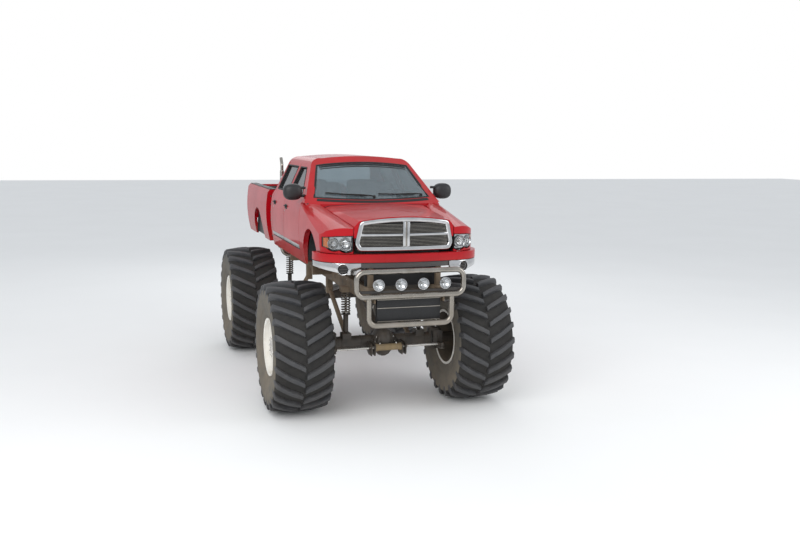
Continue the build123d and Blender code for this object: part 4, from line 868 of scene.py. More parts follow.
def makeGrille():
    bm = bmesh.new()
    value = grille
    corners = [(-value["bottomHalf"], value["bottom"]), (value["bottomHalf"], value["bottom"]),
               (value["wideHalf"], value["wide"]), (value["shoulderHalf"], value["shoulder"])]
    corners += arcTop(value["shoulderHalf"], value["shoulder"], value["top"])
    corners += [(-value["shoulderHalf"], value["shoulder"]), (-value["wideHalf"], value["wide"])]
    outline = roundOutline(corners, 0.045, 5)
    front, bar = value["proud"], value["bar"]
    surround = addBand(bm, outline, [
        (0.0005, -0.040), (0.0005, front - 0.018), (0.004, front - 0.007), (0.012, front - 0.001),
        (0.022, front), (bar - 0.022, front - 0.002), (bar - 0.012, front - 0.006),
        (bar - 0.003, front - 0.018), (bar, front - 0.030), (bar, -0.040)])
    # a dark sheet behind the slats: painted shade of the grille's inside
    back = addSheet(bm, insetOutline(outline, bar - 0.004), -0.036, 1)
    low, high = value["bottom"] + bar, value["top"] - bar
    crossLow, crossHigh = value["crossZ"] - value["crossHalf"], value["crossZ"] + value["crossHalf"]
    inner, outer, thin, knee = value["slatInner"], value["slatOuter"], value["slatHalf"], value["kneeZ"]
    bars = []
    for side in (-1, 1):
        bars += addSideBox(bm, side, (inner, -0.012, crossLow), (outer, 0.036, crossHigh), 0.005)
        for item in range(value["slats"]):
            for start, end in ((low - 0.004, crossLow), (crossHigh, high - 0.012)):
                z = start + (end - start) * (item + 0.7) / (value["slats"] + 0.4)
                reach = value["slatLowOuter"] if z < knee else outer - (z - knee) * value["slatTaper"]
                if z < high - 0.010:
                    bars += addSideBox(bm, side, (inner, 0.004, z - thin), (reach, 0.013, z + thin), 0.001, 2)
        bars += addSideBox(bm, side, (0.010, -0.016, low - 0.006), (0.043, 0.036, high + 0.010), 0.006)
    bars += addBox(bm, (-0.012, -0.002, low - 0.004), (0.012, 0.036, high + 0.008), 0.002, index=2)
    for group in (surround, bars, back):
        splitAcross(bm, group, 0.075)
    bendToNose(bm.faces)
    makePiece("grille_dress", bm, [chrome, sealRubber, stainless], "hood", ["grille"], smoothAngle=40)


makeGrille()


# Headlamps
headlamp = {
    "outline": [(0.641, 2.147), (0.720, 2.122), (0.760, 2.148), (0.800, 2.152), (0.868, 2.138),
                (0.916, 2.166), (0.965, 2.184), (0.965, 2.300), (0.830, 2.320), (0.641, 2.328)],
    # x, z, radius and how far turned outwards
    "bowls": [(0.732, 2.226, 0.072, 0.10), (0.862, 2.228, 0.062, 0.42)],
    "amber": [(0.908, 2.172), (0.958, 2.192), (0.958, 2.294), (0.908, 2.303)],
    "depth": 0.058,
}


def makeHeadlamps():
    bm = bmesh.new()
    deep = headlamp["depth"]
    for side in (-1, 1):
        # a mirrored outline is read backwards, so that it still runs anticlockwise
        outline = [(side * x, z) for x, z in headlamp["outline"][::side]]
        amber = [(side * x, z) for x, z in headlamp["amber"][::side]]
        outline = roundOutline(outline, 0.012, 3)
        before = set(bm.faces)
        addBand(bm, outline, [(0.001, -deep), (0.001, -0.002), (0.004, 0.0005), (0.009, -0.002),
                              (0.010, -0.012), (0.012, -deep)], 6)
        addSheet(bm, insetOutline(outline, 0.008), 0.004 - deep, 1)
        addSheet(bm, insetOutline(outline, 0.009), -0.003, 2)
        addSheet(bm, amber, -0.010, 5)
        splitAcross(bm, newFaces(bm, before), 0.022)
        bendToNose(newFaces(bm, before), -0.001)
        for x, z, radius, turned in headlamp["bowls"]:
            way = Vector((side * turned, -1, 0)).normalized()
            place = Vector((side * x, noseFront(x) + 0.010, z))
            addLathe(bm, [(-0.040, 0.0), (-0.040, 0.010), (-0.034, radius * 0.55), (-0.018, radius * 0.86),
                          (-0.003, radius), (0.000, radius * 1.02), (0.000, radius * 1.07),
                          (-0.006, radius * 1.09)], place, way, 40, 3)
            addRod(bm, place - way * 0.040, place - way * 0.014, 0.012, 0.009, 16, 4, 0.003)
            addLathe(bm, [(-0.012, 0.026), (-0.008, 0.028), (-0.006, 0.026), (-0.008, 0.023)], place, way,
                     32, 3, close=True)
    makePiece("headlamps_dress", bm,
              [blackPlastic, reflector, clearLens, reflector, bulbGlass, amberLens, sealRubber], "chassis",
              ["headlamps"], smoothAngle=40)


makeHeadlamps()


# Bumper ends with round fog openings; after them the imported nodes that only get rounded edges
bumperEnd = {
    "fogX": 0.770,
    "fogZ": 1.932,
    "fogRadius": 0.060,
    "proud": 0.055,        # the ends stand this far ahead of the nose
    "louvres": 5,
    "louvrePitch": 0.0185,
}


def makeBumperEnds():
    value = bumperEnd
    bm = copyNode("bumper_ends")
    softenEdges(bm, 0.005, 2, 40)
    setMaterial(bm.faces, 0)
    x, radius, proud = value["fogX"], value["fogRadius"], value["proud"]
    slope = (noseFront(x + 0.02, proud) - noseFront(x - 0.02, proud)) / 0.04
    for side in (-1, 1):
        way = Vector((side * slope, -1, 0)).normalized()
        place = Vector((side * x, noseFront(x, proud), value["fogZ"]))
        addLathe(bm, [(-0.030, radius - 0.003), (-0.010, radius - 0.002), (-0.001, radius),
                      (0.0015, radius + 0.004), (-0.001, radius + 0.009), (-0.008, radius + 0.011),
                      (-0.030, radius + 0.004)], place, way, 48, 0)
        # the opening's back is a dark disc: painted shade in the recess behind the louvres
        addRod(bm, place - way * 0.036, place - way * 0.032, radius - 0.004, segments=40, index=1)
        turn = way.to_track_quat("-Y", "Z").to_matrix()
        for item in range(value["louvres"]):
            drop = (item - (value["louvres"] - 1) / 2) * value["louvrePitch"]
            half = Vector((math.sqrt((radius - 0.010)**2 - drop * drop), 0.012, 0.004))
            middle = place - way * 0.016 + Vector((0, 0, drop))
            addBox(bm, middle - half, middle + half, 0.002, 2, turn)
    makePiece("bumper_ends_dress", bm, [chrome, sealRubber, greyPlastic], "chassis", ["bumper_ends"],
              smoothAngle=34)


makeBumperEnds()
for node, material, width in (("valance", greyPlastic, 0.004), ("cooler", blackPlastic, 0.005),
                              ("rear_bumper", chassisBlack, 0.006), ("dashboard", cabinTrim, 0.012)):
    bm = copyNode(node)
    softenEdges(bm, width, 3, 30)
    makePiece(f"{node}_dress", bm, [material], bodyOf[node], [node])
print("nose made")


# Bull bar: polished tube loops with a lamp bar, struts and brackets
bullBar = {
    "y": -1.130,
    "tube": 0.0325,
    "bend": 0.095,
    "upperHalf": 0.669,
    "upperTop": 1.926,
    "upperLow": 1.629,
    "lowerHalf": 0.518,
    "lowerLow": 1.284,
    "lampZ": 1.775,
    "lampRadius": 0.072,
    "lampPitch": 0.277,
    "frameEnd": -1.0003,   # the brackets reach back to the frame's front
    "shelfZ": 1.5358,      # top of the bracket plates
}


def makeBullBar():
    bm = bmesh.new()
    value = bullBar
    y, tube = value["y"], value["tube"]
    half, top, low = value["upperHalf"], value["upperTop"], value["upperLow"]
    addTube(bm, [(-half, y, low), (half, y, low), (half, y, top), (-half, y, top)], tube, value["bend"], 28,
            10, closed=True)
    half, foot = value["lowerHalf"], value["lowerLow"]
    addTube(bm, [(-half, y, low - 0.010), (-half, y, foot), (half, y, foot), (half, y, low - 0.010)], tube,
            value["bend"], 28, 10)
    back, shelf = value["frameEnd"], value["shelfZ"]
    for side in (-1, 1):
        # weld beads where the lower loop meets the upper one
        addLathe(bm, [(-0.004, tube * 0.96), (0.0, tube + 0.0035), (0.005, tube * 0.98)],
                 (side * half, y, low - tube + 0.004), (0, 0, 1), 28)
        addSideBox(bm, side, (0.400, y, 1.616), (0.460, back, 1.664), 0.006, 1)
        addSideBox(bm, side, (0.430, y + 0.0295, 1.5242), (0.546, back, shelf), 0.003, 1)
        addBolts(bm, [(side * x, -1.060, shelf) for x in (0.455, 0.515)], (0, 0, 1), 0.009, 0.008, 2)
    addBox(bm, (-0.648, -1.129, 1.6665), (0.648, -1.0945, 1.7015), 0.006, 1)
    makePiece("bull_bar_dress", bm, [stainless, chassisBlack, rodChrome], "chassis", ["bull_bar"],
              smoothAngle=40)


def makeSpotLamps():
    bm = bmesh.new()
    radius = bullBar["lampRadius"]
    ahead = Vector((0, -1, 0))
    # cup, rim, bowl and lens
    profiles = [
        [(-0.058, 0.0), (-0.057, 0.026), (-0.046, 0.050), (-0.026, radius - 0.009), (-0.014, radius - 0.004),
         (-0.012, radius - 0.004)],
        [(-0.016, radius - 0.005), (-0.014, radius), (-0.003, radius + 0.0006), (0.0005, radius - 0.002),
         (0.001, radius - 0.007), (-0.004, radius - 0.010), (-0.010, radius - 0.011)],
        [(-0.046, 0.0), (-0.045, 0.012), (-0.034, 0.034), (-0.018, 0.052), (-0.006, radius - 0.011)],
        [(0.0006, 0.0), (0.0000, 0.030), (-0.002, 0.052), (-0.005, radius - 0.010), (-0.008, radius - 0.011),
         (-0.0045, 0.050), (-0.003, 0.030), (-0.002, 0.0)],
    ]
    for item in range(4):
        x = (item - 1.5) * bullBar["lampPitch"]
        place = Vector((x, bullBar["y"] - 0.060, bullBar["lampZ"]))
        for index, profile in enumerate(profiles):
            addLathe(bm, profile, place, ahead, 48, index)
        addRod(bm, place - ahead * 0.044, place - ahead * 0.016, 0.0085, 0.006, 14, 4, 0.002)
        # foot, stem and bolt
        addBox(bm, (x - 0.010, -1.166, 1.7023), (x + 0.010, -1.110, 1.708), 0.002, 1)
        addBox(bm, (x - 0.010, -1.150, 1.706), (x + 0.010, -1.144, 1.735), 0.002, 1)
        addBolts(bm, [(x, -1.1245, 1.708)], (0, 0, 1), 0.007, 0.006, 1)
    makePiece("spot_lamps_dress", bm, [blackPlastic, chrome, reflector, clearLens, bulbGlass], "chassis",
              ["spot_lamps"], smoothAngle=45)


cooler = {
    "cores": ((1.326, 1.468), (1.488, 1.572)),       # low and high z of the two rows of fins
    "finPitch": 0.0085,
    "finHalf": 0.382,
    "postX": 0.394,
    "barZ": (1.316, 1.478, 1.580),
    "barHalf": 0.398,
}


def makeCoolerFins():
    bm = bmesh.new()
    fin, bar = cooler["finHalf"], cooler["barHalf"]
    for low, high in cooler["cores"]:
        count = int((high - low) / cooler["finPitch"])
        for item in range(count):
            z = low + (high - low) * (item + 0.5) / count
            addBox(bm, (-fin, -1.0618, z - 0.0012), (fin, -1.0590, z + 0.0012))
    for x in (-cooler["postX"], cooler["postX"]):
        addBox(bm, (x - 0.006, -1.066, 1.312), (x + 0.006, -1.056, 1.583), 0.002)
    for z in cooler["barZ"]:
        addBox(bm, (-bar, -1.067, z - 0.005), (bar, -1.057, z + 0.005), 0.002, 1)
    makePiece("coolerFins", bm, [blackPlastic, stainless], "chassis")


makeBullBar()
makeSpotLamps()
makeCoolerFins()
print("bull bar and lamps made")


# Axles, steering and springs
axle = {
    "tube": 0.0815,
    "frontEnd": 0.660,
    "rearEnd": 1.034,
    "banjo": 0.203,
    "padTop": 0.1295,      # this and the yokes' low and high are counted from the axle's middle
    "yokeLow": 0.1056,
    "yokeHigh": 0.1396,
    "yokeHalf": 0.0575,
    "kingpinX": 0.752,
    "cylinderY": -0.250,
    "cylinderZ": 0.806,
    "rodHalf": 0.735,
    "rodRadius": 0.0165,
}


def addYokes(bm, y, z):
    # the forks that hold the knuckles' kingpins
    reach, half = axle["kingpinX"], axle["yokeHalf"]
    for side in (-1, 1):
        kingpin = side * reach
        for level in (-1, 1):
            low, high = sorted((z + level * axle["yokeLow"], z + level * axle["yokeHigh"]))
            addRod(bm, (kingpin, y, low), (kingpin, y, high), half, segments=40, bevel=0.004)
            addSideBox(bm, side, (0.640, y - half, low), (reach, y + half, high), 0.004)
            addBolts(bm, [(kingpin, y, z + level * axle["yokeHigh"])], (0, 0, level), 0.018, 0.010, 1)
        addSideBox(bm, side, (0.638, y - 0.060, z - 0.136), (0.668, y + 0.060, z + 0.136), 0.008)


def addCylinder(bm, axleY):
    # the steering cylinder between two plates, and its ports
    y, z = axle["cylinderY"], axle["cylinderZ"]
    addLathe(bm, [(-0.181, 0.0), (-0.181, 0.040), (-0.177, 0.0495), (-0.150, 0.0495), (-0.146, 0.043),
                  (0.146, 0.043), (0.150, 0.0495), (0.177, 0.0495), (0.181, 0.040), (0.181, 0.0)],
             (0, y, z), (1, 0, 0), 40, 2)
    outline = [(y - 0.062, 0.742), (y - 0.040, 0.704), (y + 0.10, 0.702), (axleY - 0.042, 0.760),
               (axleY - 0.042, 0.864), (y - 0.030, 0.864), (y - 0.062, 0.840)]
    for side in (-1, 1):
        for x in (0.183, 0.230):
            addPlate(bm, outline, (side * x + 0.005, 0, 0), (0, 1, 0), (0, 0, 1), 0.010, 0.0015)
        addRod(bm, (side * 0.11, y, z + 0.043), (side * 0.11, y, z + 0.058), 0.012, segments=20, index=1)


def makeAxle(end, y, toward):
    # toward is 1 where the pinion looks backwards, -1 where it looks forwards
    bm = bmesh.new()
    z, tube, reach, pad = axleZ, axle["tube"], axle[end + "End"], axle["padTop"]
    middle = Vector((0, y, z))
    outline = [(y - 0.058, z - 0.088), (y + 0.058, z - 0.088), (y + 0.070, z - 0.030), (y + 0.040, z + 0.020),
               (y - 0.040, z + 0.020), (y - 0.070, z - 0.030)]
    for side in (-1, 1):
        addLathe(bm, [(0.10, tube), (reach - 0.030, tube), (reach - 0.026, tube + 0.004),
                      (reach - 0.002, tube + 0.004), (reach, tube), (reach, 0.0)], middle, (side, 0, 0), 40)
        for x in (0.16, 0.30, reach - 0.10):
            addLathe(bm, [(x, tube), (x + 0.003, tube + 0.005), (x + 0.009, tube + 0.005), (x + 0.012, tube)],
                     middle, (side, 0, 0), 40)
        # spring pads and link ears
        addSideBox(bm, side, (0.440, y - 0.070, z + 0.02), (0.560, y + 0.070, z + pad), 0.006)
        addBolts(bm, [(side * 0.455, y + offset, z + pad) for offset in (-0.055, 0.055)], (0, 0, 1), 0.009,
                 0.006, 1)
        for x in (0.389, 0.471):
            addPlate(bm, outline, (side * x + 0.004, 0, 0), (0, 1, 0), (0, 0, 1), 0.008, 0.001)
    # banjo housing, its cover with a ring of bolts, and the pinion's nose
    addLathe(bm, [(-0.118, 0.0), (-0.118, 0.090), (-0.105, 0.138), (-0.060, 0.186), (-0.020, axle["banjo"]),
                  (0.020, axle["banjo"]), (0.060, 0.186), (0.105, 0.138), (0.118, 0.090), (0.118, 0.0)],
             middle, (1, 0, 0), 56)
    cover = (0, -toward, 0.06)
    addLathe(bm, [(0.060, 0.150), (0.100, 0.146), (0.112, 0.138), (0.118, 0.120), (0.150, 0.110),
                  (0.166, 0.085), (0.172, 0.0)], middle, cover, 48)
    addBolts(bm, ringOf(12, 0.132, (0, y - toward * 0.113, z + 0.007), cover), cover, 0.008, 0.008, 1)
    start = Vector((0, y + toward * 0.10, z + 0.038))
    far = Vector((0, y + toward * 0.185, z + 0.070))
    addRod(bm, start, far - (far - start) * 0.2, 0.105, 0.078, 40)
    addRod(bm, far - (far - start) * 0.25, far, 0.074, 0.060, 40, bevel=0.004)
    if end == "front":
        addYokes(bm, y, z)
        addCylinder(bm, y)
    makePiece(f"{end}_axle_dress", bm, [chassisBlack, rodChrome, barrelTan], "chassis", [f"{end}_axle"],
              smoothAngle=38)


makeAxle("front", 0.0, 1)
makeAxle("rear", rearY, -1)


def makeKnuckle(side, sign):
    bm = copyNode(f"knuckle_{side}")
    softenEdges(bm, 0.004, 2, 40)
    setMaterial(bm.faces, 0)
    for z in (0.750, 0.930):
        addBolts(bm, [(sign * 0.8165, y, z) for y in (-0.052, 0.052)], (sign, 0, 0), 0.010, 0.007, 1)
    makePiece(f"knuckle_{side}_dress", bm, [chassisBlack, rodChrome], f"knuckle_{side}", [f"knuckle_{side}"])


makeKnuckle("left", 1)
makeKnuckle("right", -1)


def makeSteeringRod():
    bm = bmesh.new()
    y, z = axle["cylinderY"], axle["cylinderZ"]
    addRod(bm, (-axle["rodHalf"], y, z), (axle["rodHalf"], y, z), axle["rodRadius"], segments=32)
    for side in (-1, 1):
        kingpin = side * axle["kingpinX"]
        addLathe(bm, [(-0.0248, 0.014), (-0.0248, 0.030), (-0.020, 0.0338), (0.020, 0.0338), (0.0248, 0.030),
                      (0.0248, 0.014)], (kingpin, y, z - 0.008), (0, 0, 1), 32, 1)
        addRod(bm, (kingpin, y, z - 0.031), (kingpin, y, z + 0.015), 0.0142, segments=24, index=0)
        addRod(bm, (side * 0.68, y, z), (side * 0.722, y, z), 0.024, segments=6, index=1, bevel=0.002)
        addLathe(bm, [(0.24, 0.0168), (0.243, 0.020), (0.256, 0.020), (0.259, 0.0168)], (0, y, z),
                 (side, 0, 0), 28, 1)
    makePiece("steering_rod_dress", bm, [rodChrome, chassisBlack], "steering_rod", ["steering_rod"])


makeSteeringRod()

spring = {
    "x": 0.500,
    "radius": 0.0615,
    "wire": 0.0085,
    "low": 1.2117,
    "high": 1.5115,
    "turns": 8,
    "turnSteps": 20,
    "cup": ((0.0, 0.0), (0.0, 0.0615), (0.005, 0.0618), (0.009, 0.060), (0.010, 0.034)),
    "damper": 0.0335,
    "foot": 0.9703,
}


def makeSprings():
    bm = bmesh.new()
    low, high, foot, damper = (spring[part] for part in ("low", "high", "foot", "damper"))
    middle = spring["radius"] - spring["wire"]
    steps = spring["turns"] * spring["turnSteps"]
    rise = (high - low - 0.034) / steps
    up = (0, 0, 1)
    for y in (0.0, rearY):
        for side in (-1, 1):
            x = side * spring["x"]
            stations = []
            for step in range(steps + 1):
                angle = step * math.tau / spring["turnSteps"]
                out, ahead = math.cos(angle) * middle, math.sin(angle) * middle
                stations.append((Vector((x + out, y + ahead, low + 0.017 + rise * step)),
                                 Vector((-ahead, out, rise * spring["turnSteps"] / math.tau))))
            addTube(bm, [], spring["wire"], segments=10, stations=stations)
            for z, sign in ((low, 1), (high, -1)):
                cup = [(sign * along, radius) for along, radius in spring["cup"]]
                addLathe(bm, cup, (x, y, z), up, 36, 1)
            addLathe(bm, [(0.0, 0.0), (0.0, 0.022), (0.016, 0.026), (0.018, damper), (0.236, damper),
                          (0.240, 0.030), (0.242, 0.030)], (x, y, foot), up, 32, 1)
            addLathe(bm, [(0.242, 0.030), (0.246, 0.0165), (0.52, 0.0165)], (x, y, foot), up, 24, 2)
    makePiece("springs_dress", bm, [springPaint, chassisBlack, rodChrome], "chassis", ["springs"],
              smoothAngle=45)


makeSprings()

link = {
    "x": 0.430,
    "ends": ((0.100, 0.800), (1.129, 1.350)),      # along from the axle, and z
    "radius": 0.0315,
}


def makeLinks():
    bm = bmesh.new()
    for y, inward in ((0.0, 1), (rearY, -1)):
        for side in (-1, 1):
            start, far = (Vector((side * link["x"], y + inward * along, z)) for along, z in link["ends"])
            way = (far - start).normalized()
            addRod(bm, start + way * 0.05, far - way * 0.05, link["radius"], segments=32)
            for place, sign in ((start, 1), (far, -1)):
                addRod(bm, place + way * sign * 0.030, place + way * sign * 0.085, 0.024, segments=6, index=1,
                       bevel=0.002)
                addLathe(bm, [(-0.030, 0.0), (-0.030, 0.027), (-0.026, 0.0312), (0.026, 0.0312),
                              (0.030, 0.027), (0.030, 0.0)], place, (1, 0, 0), 32)
    makePiece("links_dress", bm, [chassisTan, rodChrome], "chassis", ["links"])


makeLinks()
print("axles made")


# Frame: the imported rails and members with rounded edges; the rails with bolts, and hole rims around dark
# discs, painted shade where the holes are
rail = {
    "x": 0.475,
    "firstY": -0.80,
    "pitch": 0.42,
    "count": 14,
    "boltRows": (1.555, 1.665),
    "holeZ": 1.61,
}


def addRailTrim(bm):
    for side in (-1, 1):
        for item in range(rail["count"]):
            y = rail["firstY"] + item * rail["pitch"]
            addBolts(bm, [(side * rail["x"], y, z) for z in rail["boltRows"]], (side, 0, 0), 0.009, 0.006, 1)
            # a hole: a rim around a dark dished disc, painted shade in place of the opening
            addLathe(bm, [(0.0, 0.030), (0.0025, 0.029), (0.0025, 0.024), (-0.004, 0.022), (-0.004, 0.0)],
                     (side * rail["x"], y + rail["pitch"] / 2, rail["holeZ"]), (side, 0, 0), 28, 2)


for node in ("frame", "crossmembers"):
    bm = copyNode(node)
    softenEdges(bm, 0.004, 2, 40)
    if node == "frame":
        addRailTrim(bm)
    makePiece(f"{node}_dress", bm, [chassisTan, rodChrome, paintedShadeDark], "chassis", [node], smoothAngle=34)
for node, material in (("driveline", chassisBlack), ("engine", castMetal), ("radiator", blackPlastic)):
    bm = copyNode(node)
    softenEdges(bm, 0.006, 2, 40)
    makePiece(f"{node}_dress", bm, [material], "chassis", [node], smoothAngle=34)
print("frame made")

# Exhaust stacks
stack = {
    "x": 0.778,
    "y": 2.850,
    "radius": 0.0325,
    "bend": 0.11,
    "footZ": 1.640,
    "rootX": 0.475,
    "top": 2.950,
    "tip": 0.0238,
    "bands": (1.86, 2.30, 2.86),
}


def makeStacks():
    bm = bmesh.new()
    y, foot, top, radius, tip = (stack[part] for part in ("y", "footZ", "top", "radius", "tip"))
    for side in (-1, 1):
        x = side * stack["x"]
        addTube(bm, [(side * stack["rootX"], y, foot), (x, y, foot), (x, y, top)], radius, stack["bend"],
                32, 10)
        addTube(bm, [(x, y, top - 0.01), (x, y, top + 0.10), (x, y + 0.070, top + 0.200)], tip, 0.06, 32, 8)
        addLathe(bm, [(-0.012, radius), (0.004, radius - 0.001), (0.014, tip + 0.0006)], (x, y, top),
                 (0, 0, 1), 32)
        for z in stack["bands"]:
            addLathe(bm, [(-0.012, radius), (-0.010, radius + 0.0004), (0.010, radius + 0.0004),
                          (0.012, radius)], (x, y, z), (0, 0, 1), 32, 1)
    makePiece("exhaust_stacks_dress", bm, [stainless, chrome], "chassis", ["exhaust_stacks"])


makeStacks()


# Mirrors: rounded shells with a flat glass at the back, on two short arms
mirror = {
    "middle": (1.056, 0.670, 2.7605),
    "size": (0.126, 0.091, 0.1085),
    "glass": (0.106, 0.010, 0.089),
    "back": 0.700,
    "fullness": 2.6,       # 2 is an oval, more is squarer
    "arms": (((0.882, 0.640, 2.690), (0.960, 0.696, 2.726)), ((0.882, 0.640, 2.796), (0.960, 0.696, 2.830))),
}


def addShell(bm, middle, size, back, index):
    # a rounded box of those half sizes, flat where it would pass y = back
    before = set(bm.faces)
    fullness = mirror["fullness"]
    for vert in bmesh.ops.create_uvsphere(bm, u_segments=56, v_segments=28, radius=1)["verts"]:
        reach = sum(abs(part)**fullness for part in vert.co)**(1 / fullness)
        vert.co = Vector([place + part / reach * half for place, part, half in zip(middle, vert.co, size)])
        vert.co.y = min(vert.co.y, back)
    setMaterial(newFaces(bm, before), index)


def makeMirror(side, sign):
    bm = bmesh.new()
    value = mirror
    x, y, z = value["middle"]
    addShell(bm, (sign * x, y, z), value["size"], value["back"], 0)
    addShell(bm, (sign * x, value["back"] - 0.004, z), value["glass"], value["back"] + 0.0015, 1)
    for low, high in value["arms"]:
        addSideBox(bm, sign, low, high, 0.010)
    node = f"mirror_{side}"
    makePiece(f"{node}_dress", bm, [blackPlastic, mirrorGlass], bodyOf[node], [node], smoothAngle=50)


makeMirror("left", 1)
makeMirror("right", -1)


# Tail lamps: a bezel with three lenses
tailLamp = {
    "inner": 0.766,
    "outer": 0.942,
    "bezelY": (4.9305, 4.950),
    "bezelZ": (2.231, 2.559),
    "lensY": (4.944, 4.9635),
    "lenses": ((2.238, 2.330, 1), (2.334, 2.394, 2), (2.398, 2.552, 1)),       # low, high, material
}


def makeTailLamps():
    bm = bmesh.new()
    inner, outer = tailLamp["inner"], tailLamp["outer"]
    front, back = tailLamp["bezelY"]
    low, high = tailLamp["bezelZ"]
    lensFront, lensBack = tailLamp["lensY"]
    for side in (-1, 1):
        addSideBox(bm, side, (inner, front, low), (outer, back, high), 0.006)
        for start, end, index in tailLamp["lenses"]:
            addSideBox(bm, side, (inner + 0.007, lensFront, start), (outer - 0.007, lensBack, end), 0.008,
                       index, 3)
    makePiece("tail_lamps_dress", bm, [blackPlastic, tailLens, whiteLens], "chassis", ["tail_lamps"])


makeTailLamps()

# Seats: crowned cushions and backs with sewn channels
seat = {
    "xs": (-0.400, 0.400),
    "ys": (1.330, 2.150),
    "half": 0.256,
    "depth": 0.496,
    "low": 2.122,
    "high": 2.296,
    "frontY": -0.260,      # the cushion's front edge and the back's middle, counted from the seat's y
    "backY": 0.250,
    "backZ": 2.540,
    "backHeight": 0.610,
    "backThickness": 0.124,
    "lean": -12,           # degrees
    "round": 0.045,
    "crown": 0.022,
    "groove": 0.007,
    "channels": (-0.10, 0.0, 0.10),
    "baseHalf": 0.198,
    "baseLow": 1.972,
    "baseHigh": 2.121,
    "runnerX": 0.170,
}


def addPad(bm, size, turn, place, index=0):
    # a padded block with its face on +z: rounded edges, a crowned face, sewn channels and a piped seam
    before = set(bm.faces)
    made = bmesh.ops.create_cube(bm, size=2)["verts"]
    edges = list({edge for vert in made for edge in vert.link_edges})
    bmesh.ops.subdivide_edges(bm, edges=edges, cuts=17, use_grid_fill=True)
    faces = newFaces(bm, before)
    verts = vertsOf(faces)
    half = Vector(size) / 2
    soft = seat["round"]
    for vert in verts:
        u, v, w = vert.co
        core = Vector((u * (half.x - soft), v * (half.y - soft), w * (half.z - soft)))
        out = Vector([part if abs(part) > 0.94 else 0 for part in vert.co])
        spot = core + (out.normalized() * soft if out.length else Vector())
        if w > 0.94:
            spot.z += seat["crown"] * ((1 - u**4) * (1 - v**4) - 1)
            for line in seat["channels"]:
                if abs(spot.y) < half.y * 0.80:
                    spot.z -= seat["groove"] * math.exp(-((spot.x - line) / 0.010)**2)
            spot.z += 0.003 * math.exp(-((max(abs(u), abs(v)) - 0.82) / 0.05)**2)
        else:
            spot.x *= 1 - 0.02 * (1 - w * w)
        vert.co = spot
    bmesh.ops.smooth_vert(bm, verts=verts, factor=0.35, use_axis_x=True, use_axis_y=True, use_axis_z=True)
    bmesh.ops.rotate(bm, cent=(0, 0, 0), matrix=turn, verts=verts)
    bmesh.ops.translate(bm, vec=place, verts=verts)
    setMaterial(faces, index)


def makeSeats():
    bm = bmesh.new()
    base = bmesh.new()
    value = seat
    lean = Matrix.Rotation(math.radians(value["lean"]), 3, "X")
    upright = Matrix.Rotation(math.radians(90), 3, "X")
    height, wide = value["high"] - value["low"], 2 * value["half"]
    half, runner = value["baseHalf"], value["runnerX"]
    for y in value["ys"]:
        for x in value["xs"]:
            addPad(bm, (wide, value["depth"], height), Matrix.Identity(3),
                   (x, y + value["frontY"] + value["depth"] / 2, value["low"] + height / 2))
            addPad(bm, (wide - 0.024, value["backHeight"], value["backThickness"]), lean @ upright,
                   (x, y + value["backY"], value["backZ"]))
            addBox(base, (x - half, y - half, value["baseLow"]), (x + half, y + half, value["baseHigh"]),
                   0.012)
            for side in (-runner, runner):
                addBox(base, (x + side - 0.020, y - 0.21, 1.960), (x + side + 0.020, y + 0.21, 1.980), 0.004)
    pads = makePiece("seats_dress", bm, [seatFabric], "chassis", ["seats"], smoothAngle=60)
    makePiece("seatBases", base, [cabinTrim], "chassis")


makeSeats()

dash = {
    "wheel": (0.380, 0.990, 2.602),
    "lean": 68,            # degrees
    "radius": 0.170,
    "tube": 0.0145,
    "spokes": (0.15, math.pi - 0.15, -math.pi / 2),
    "dials": (0.30, 0.46),
    "vents": (-0.62, -0.05, 0.05, 0.66),
}


def makeWheelAndDash():
    bm = bmesh.new()
    centre = Vector(dash["wheel"])
    lean = Matrix.Rotation(math.radians(dash["lean"]), 3, "X")
    stations = []
    for item in range(40):
        angle = item * math.tau / 40
        spot = Vector((math.cos(angle) * dash["radius"], math.sin(angle) * dash["radius"], 0.006))
        stations.append((centre + lean @ spot, lean @ Vector((-math.sin(angle), math.cos(angle), 0))))
    addTube(bm, [], dash["tube"], segments=14, closed=True, stations=stations)
    for angle in dash["spokes"]:
        out = Vector((math.cos(angle), math.sin(angle), 0))
        addRod(bm, centre + lean @ (out * 0.03), centre + lean @ (out * 0.165), 0.011, 0.009, 12)
    addLathe(bm, [(-0.010, 0.0), (-0.010, 0.040), (0.004, 0.046), (0.012, 0.040), (0.014, 0.0)], centre,
             lean @ Vector((0, 0, 1)), 32)
    for x in dash["dials"]:
        addLathe(bm, [(0.0, 0.0), (0.0, 0.050), (0.004, 0.052), (0.006, 0.050), (0.004, 0.046), (0.002, 0.0)],
                 (x, 0.9005, 2.560), (0, 1, 0), 32, 1)
    for x in dash["vents"]:
        addBox(bm, (x - 0.045, 0.8995, 2.545), (x + 0.045, 0.9035, 2.590), 0.002, 1)
    makePiece("steeringWheel", bm, [cabinTrim, blackPlastic], "chassis", smoothAngle=50)


makeWheelAndDash()
print("cabin made")


# Trim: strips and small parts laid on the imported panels' surfaces
def surfaceOf(nodes):
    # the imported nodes' surfaces in one tree that rays can be cast at
    bm = bmesh.new()
    for node in nodes:
        bm.from_mesh(frame["nodes"][node].data)
    bmesh.ops.translate(bm, vec=(0, middleY, 0), verts=bm.verts)
    tree = BVHTree.FromBMesh(bm)
    bm.free()
    return tree


def landOn(tree, start, way):
    # where a ray lands and the surface's normal there, which looks back at the ray's start
    place, normal, _, _ = tree.ray_cast(Vector(start), Vector(way))
    if place is None:
        return None
    if normal.dot(Vector(way)) > 0:
        normal = -normal
    return place, normal


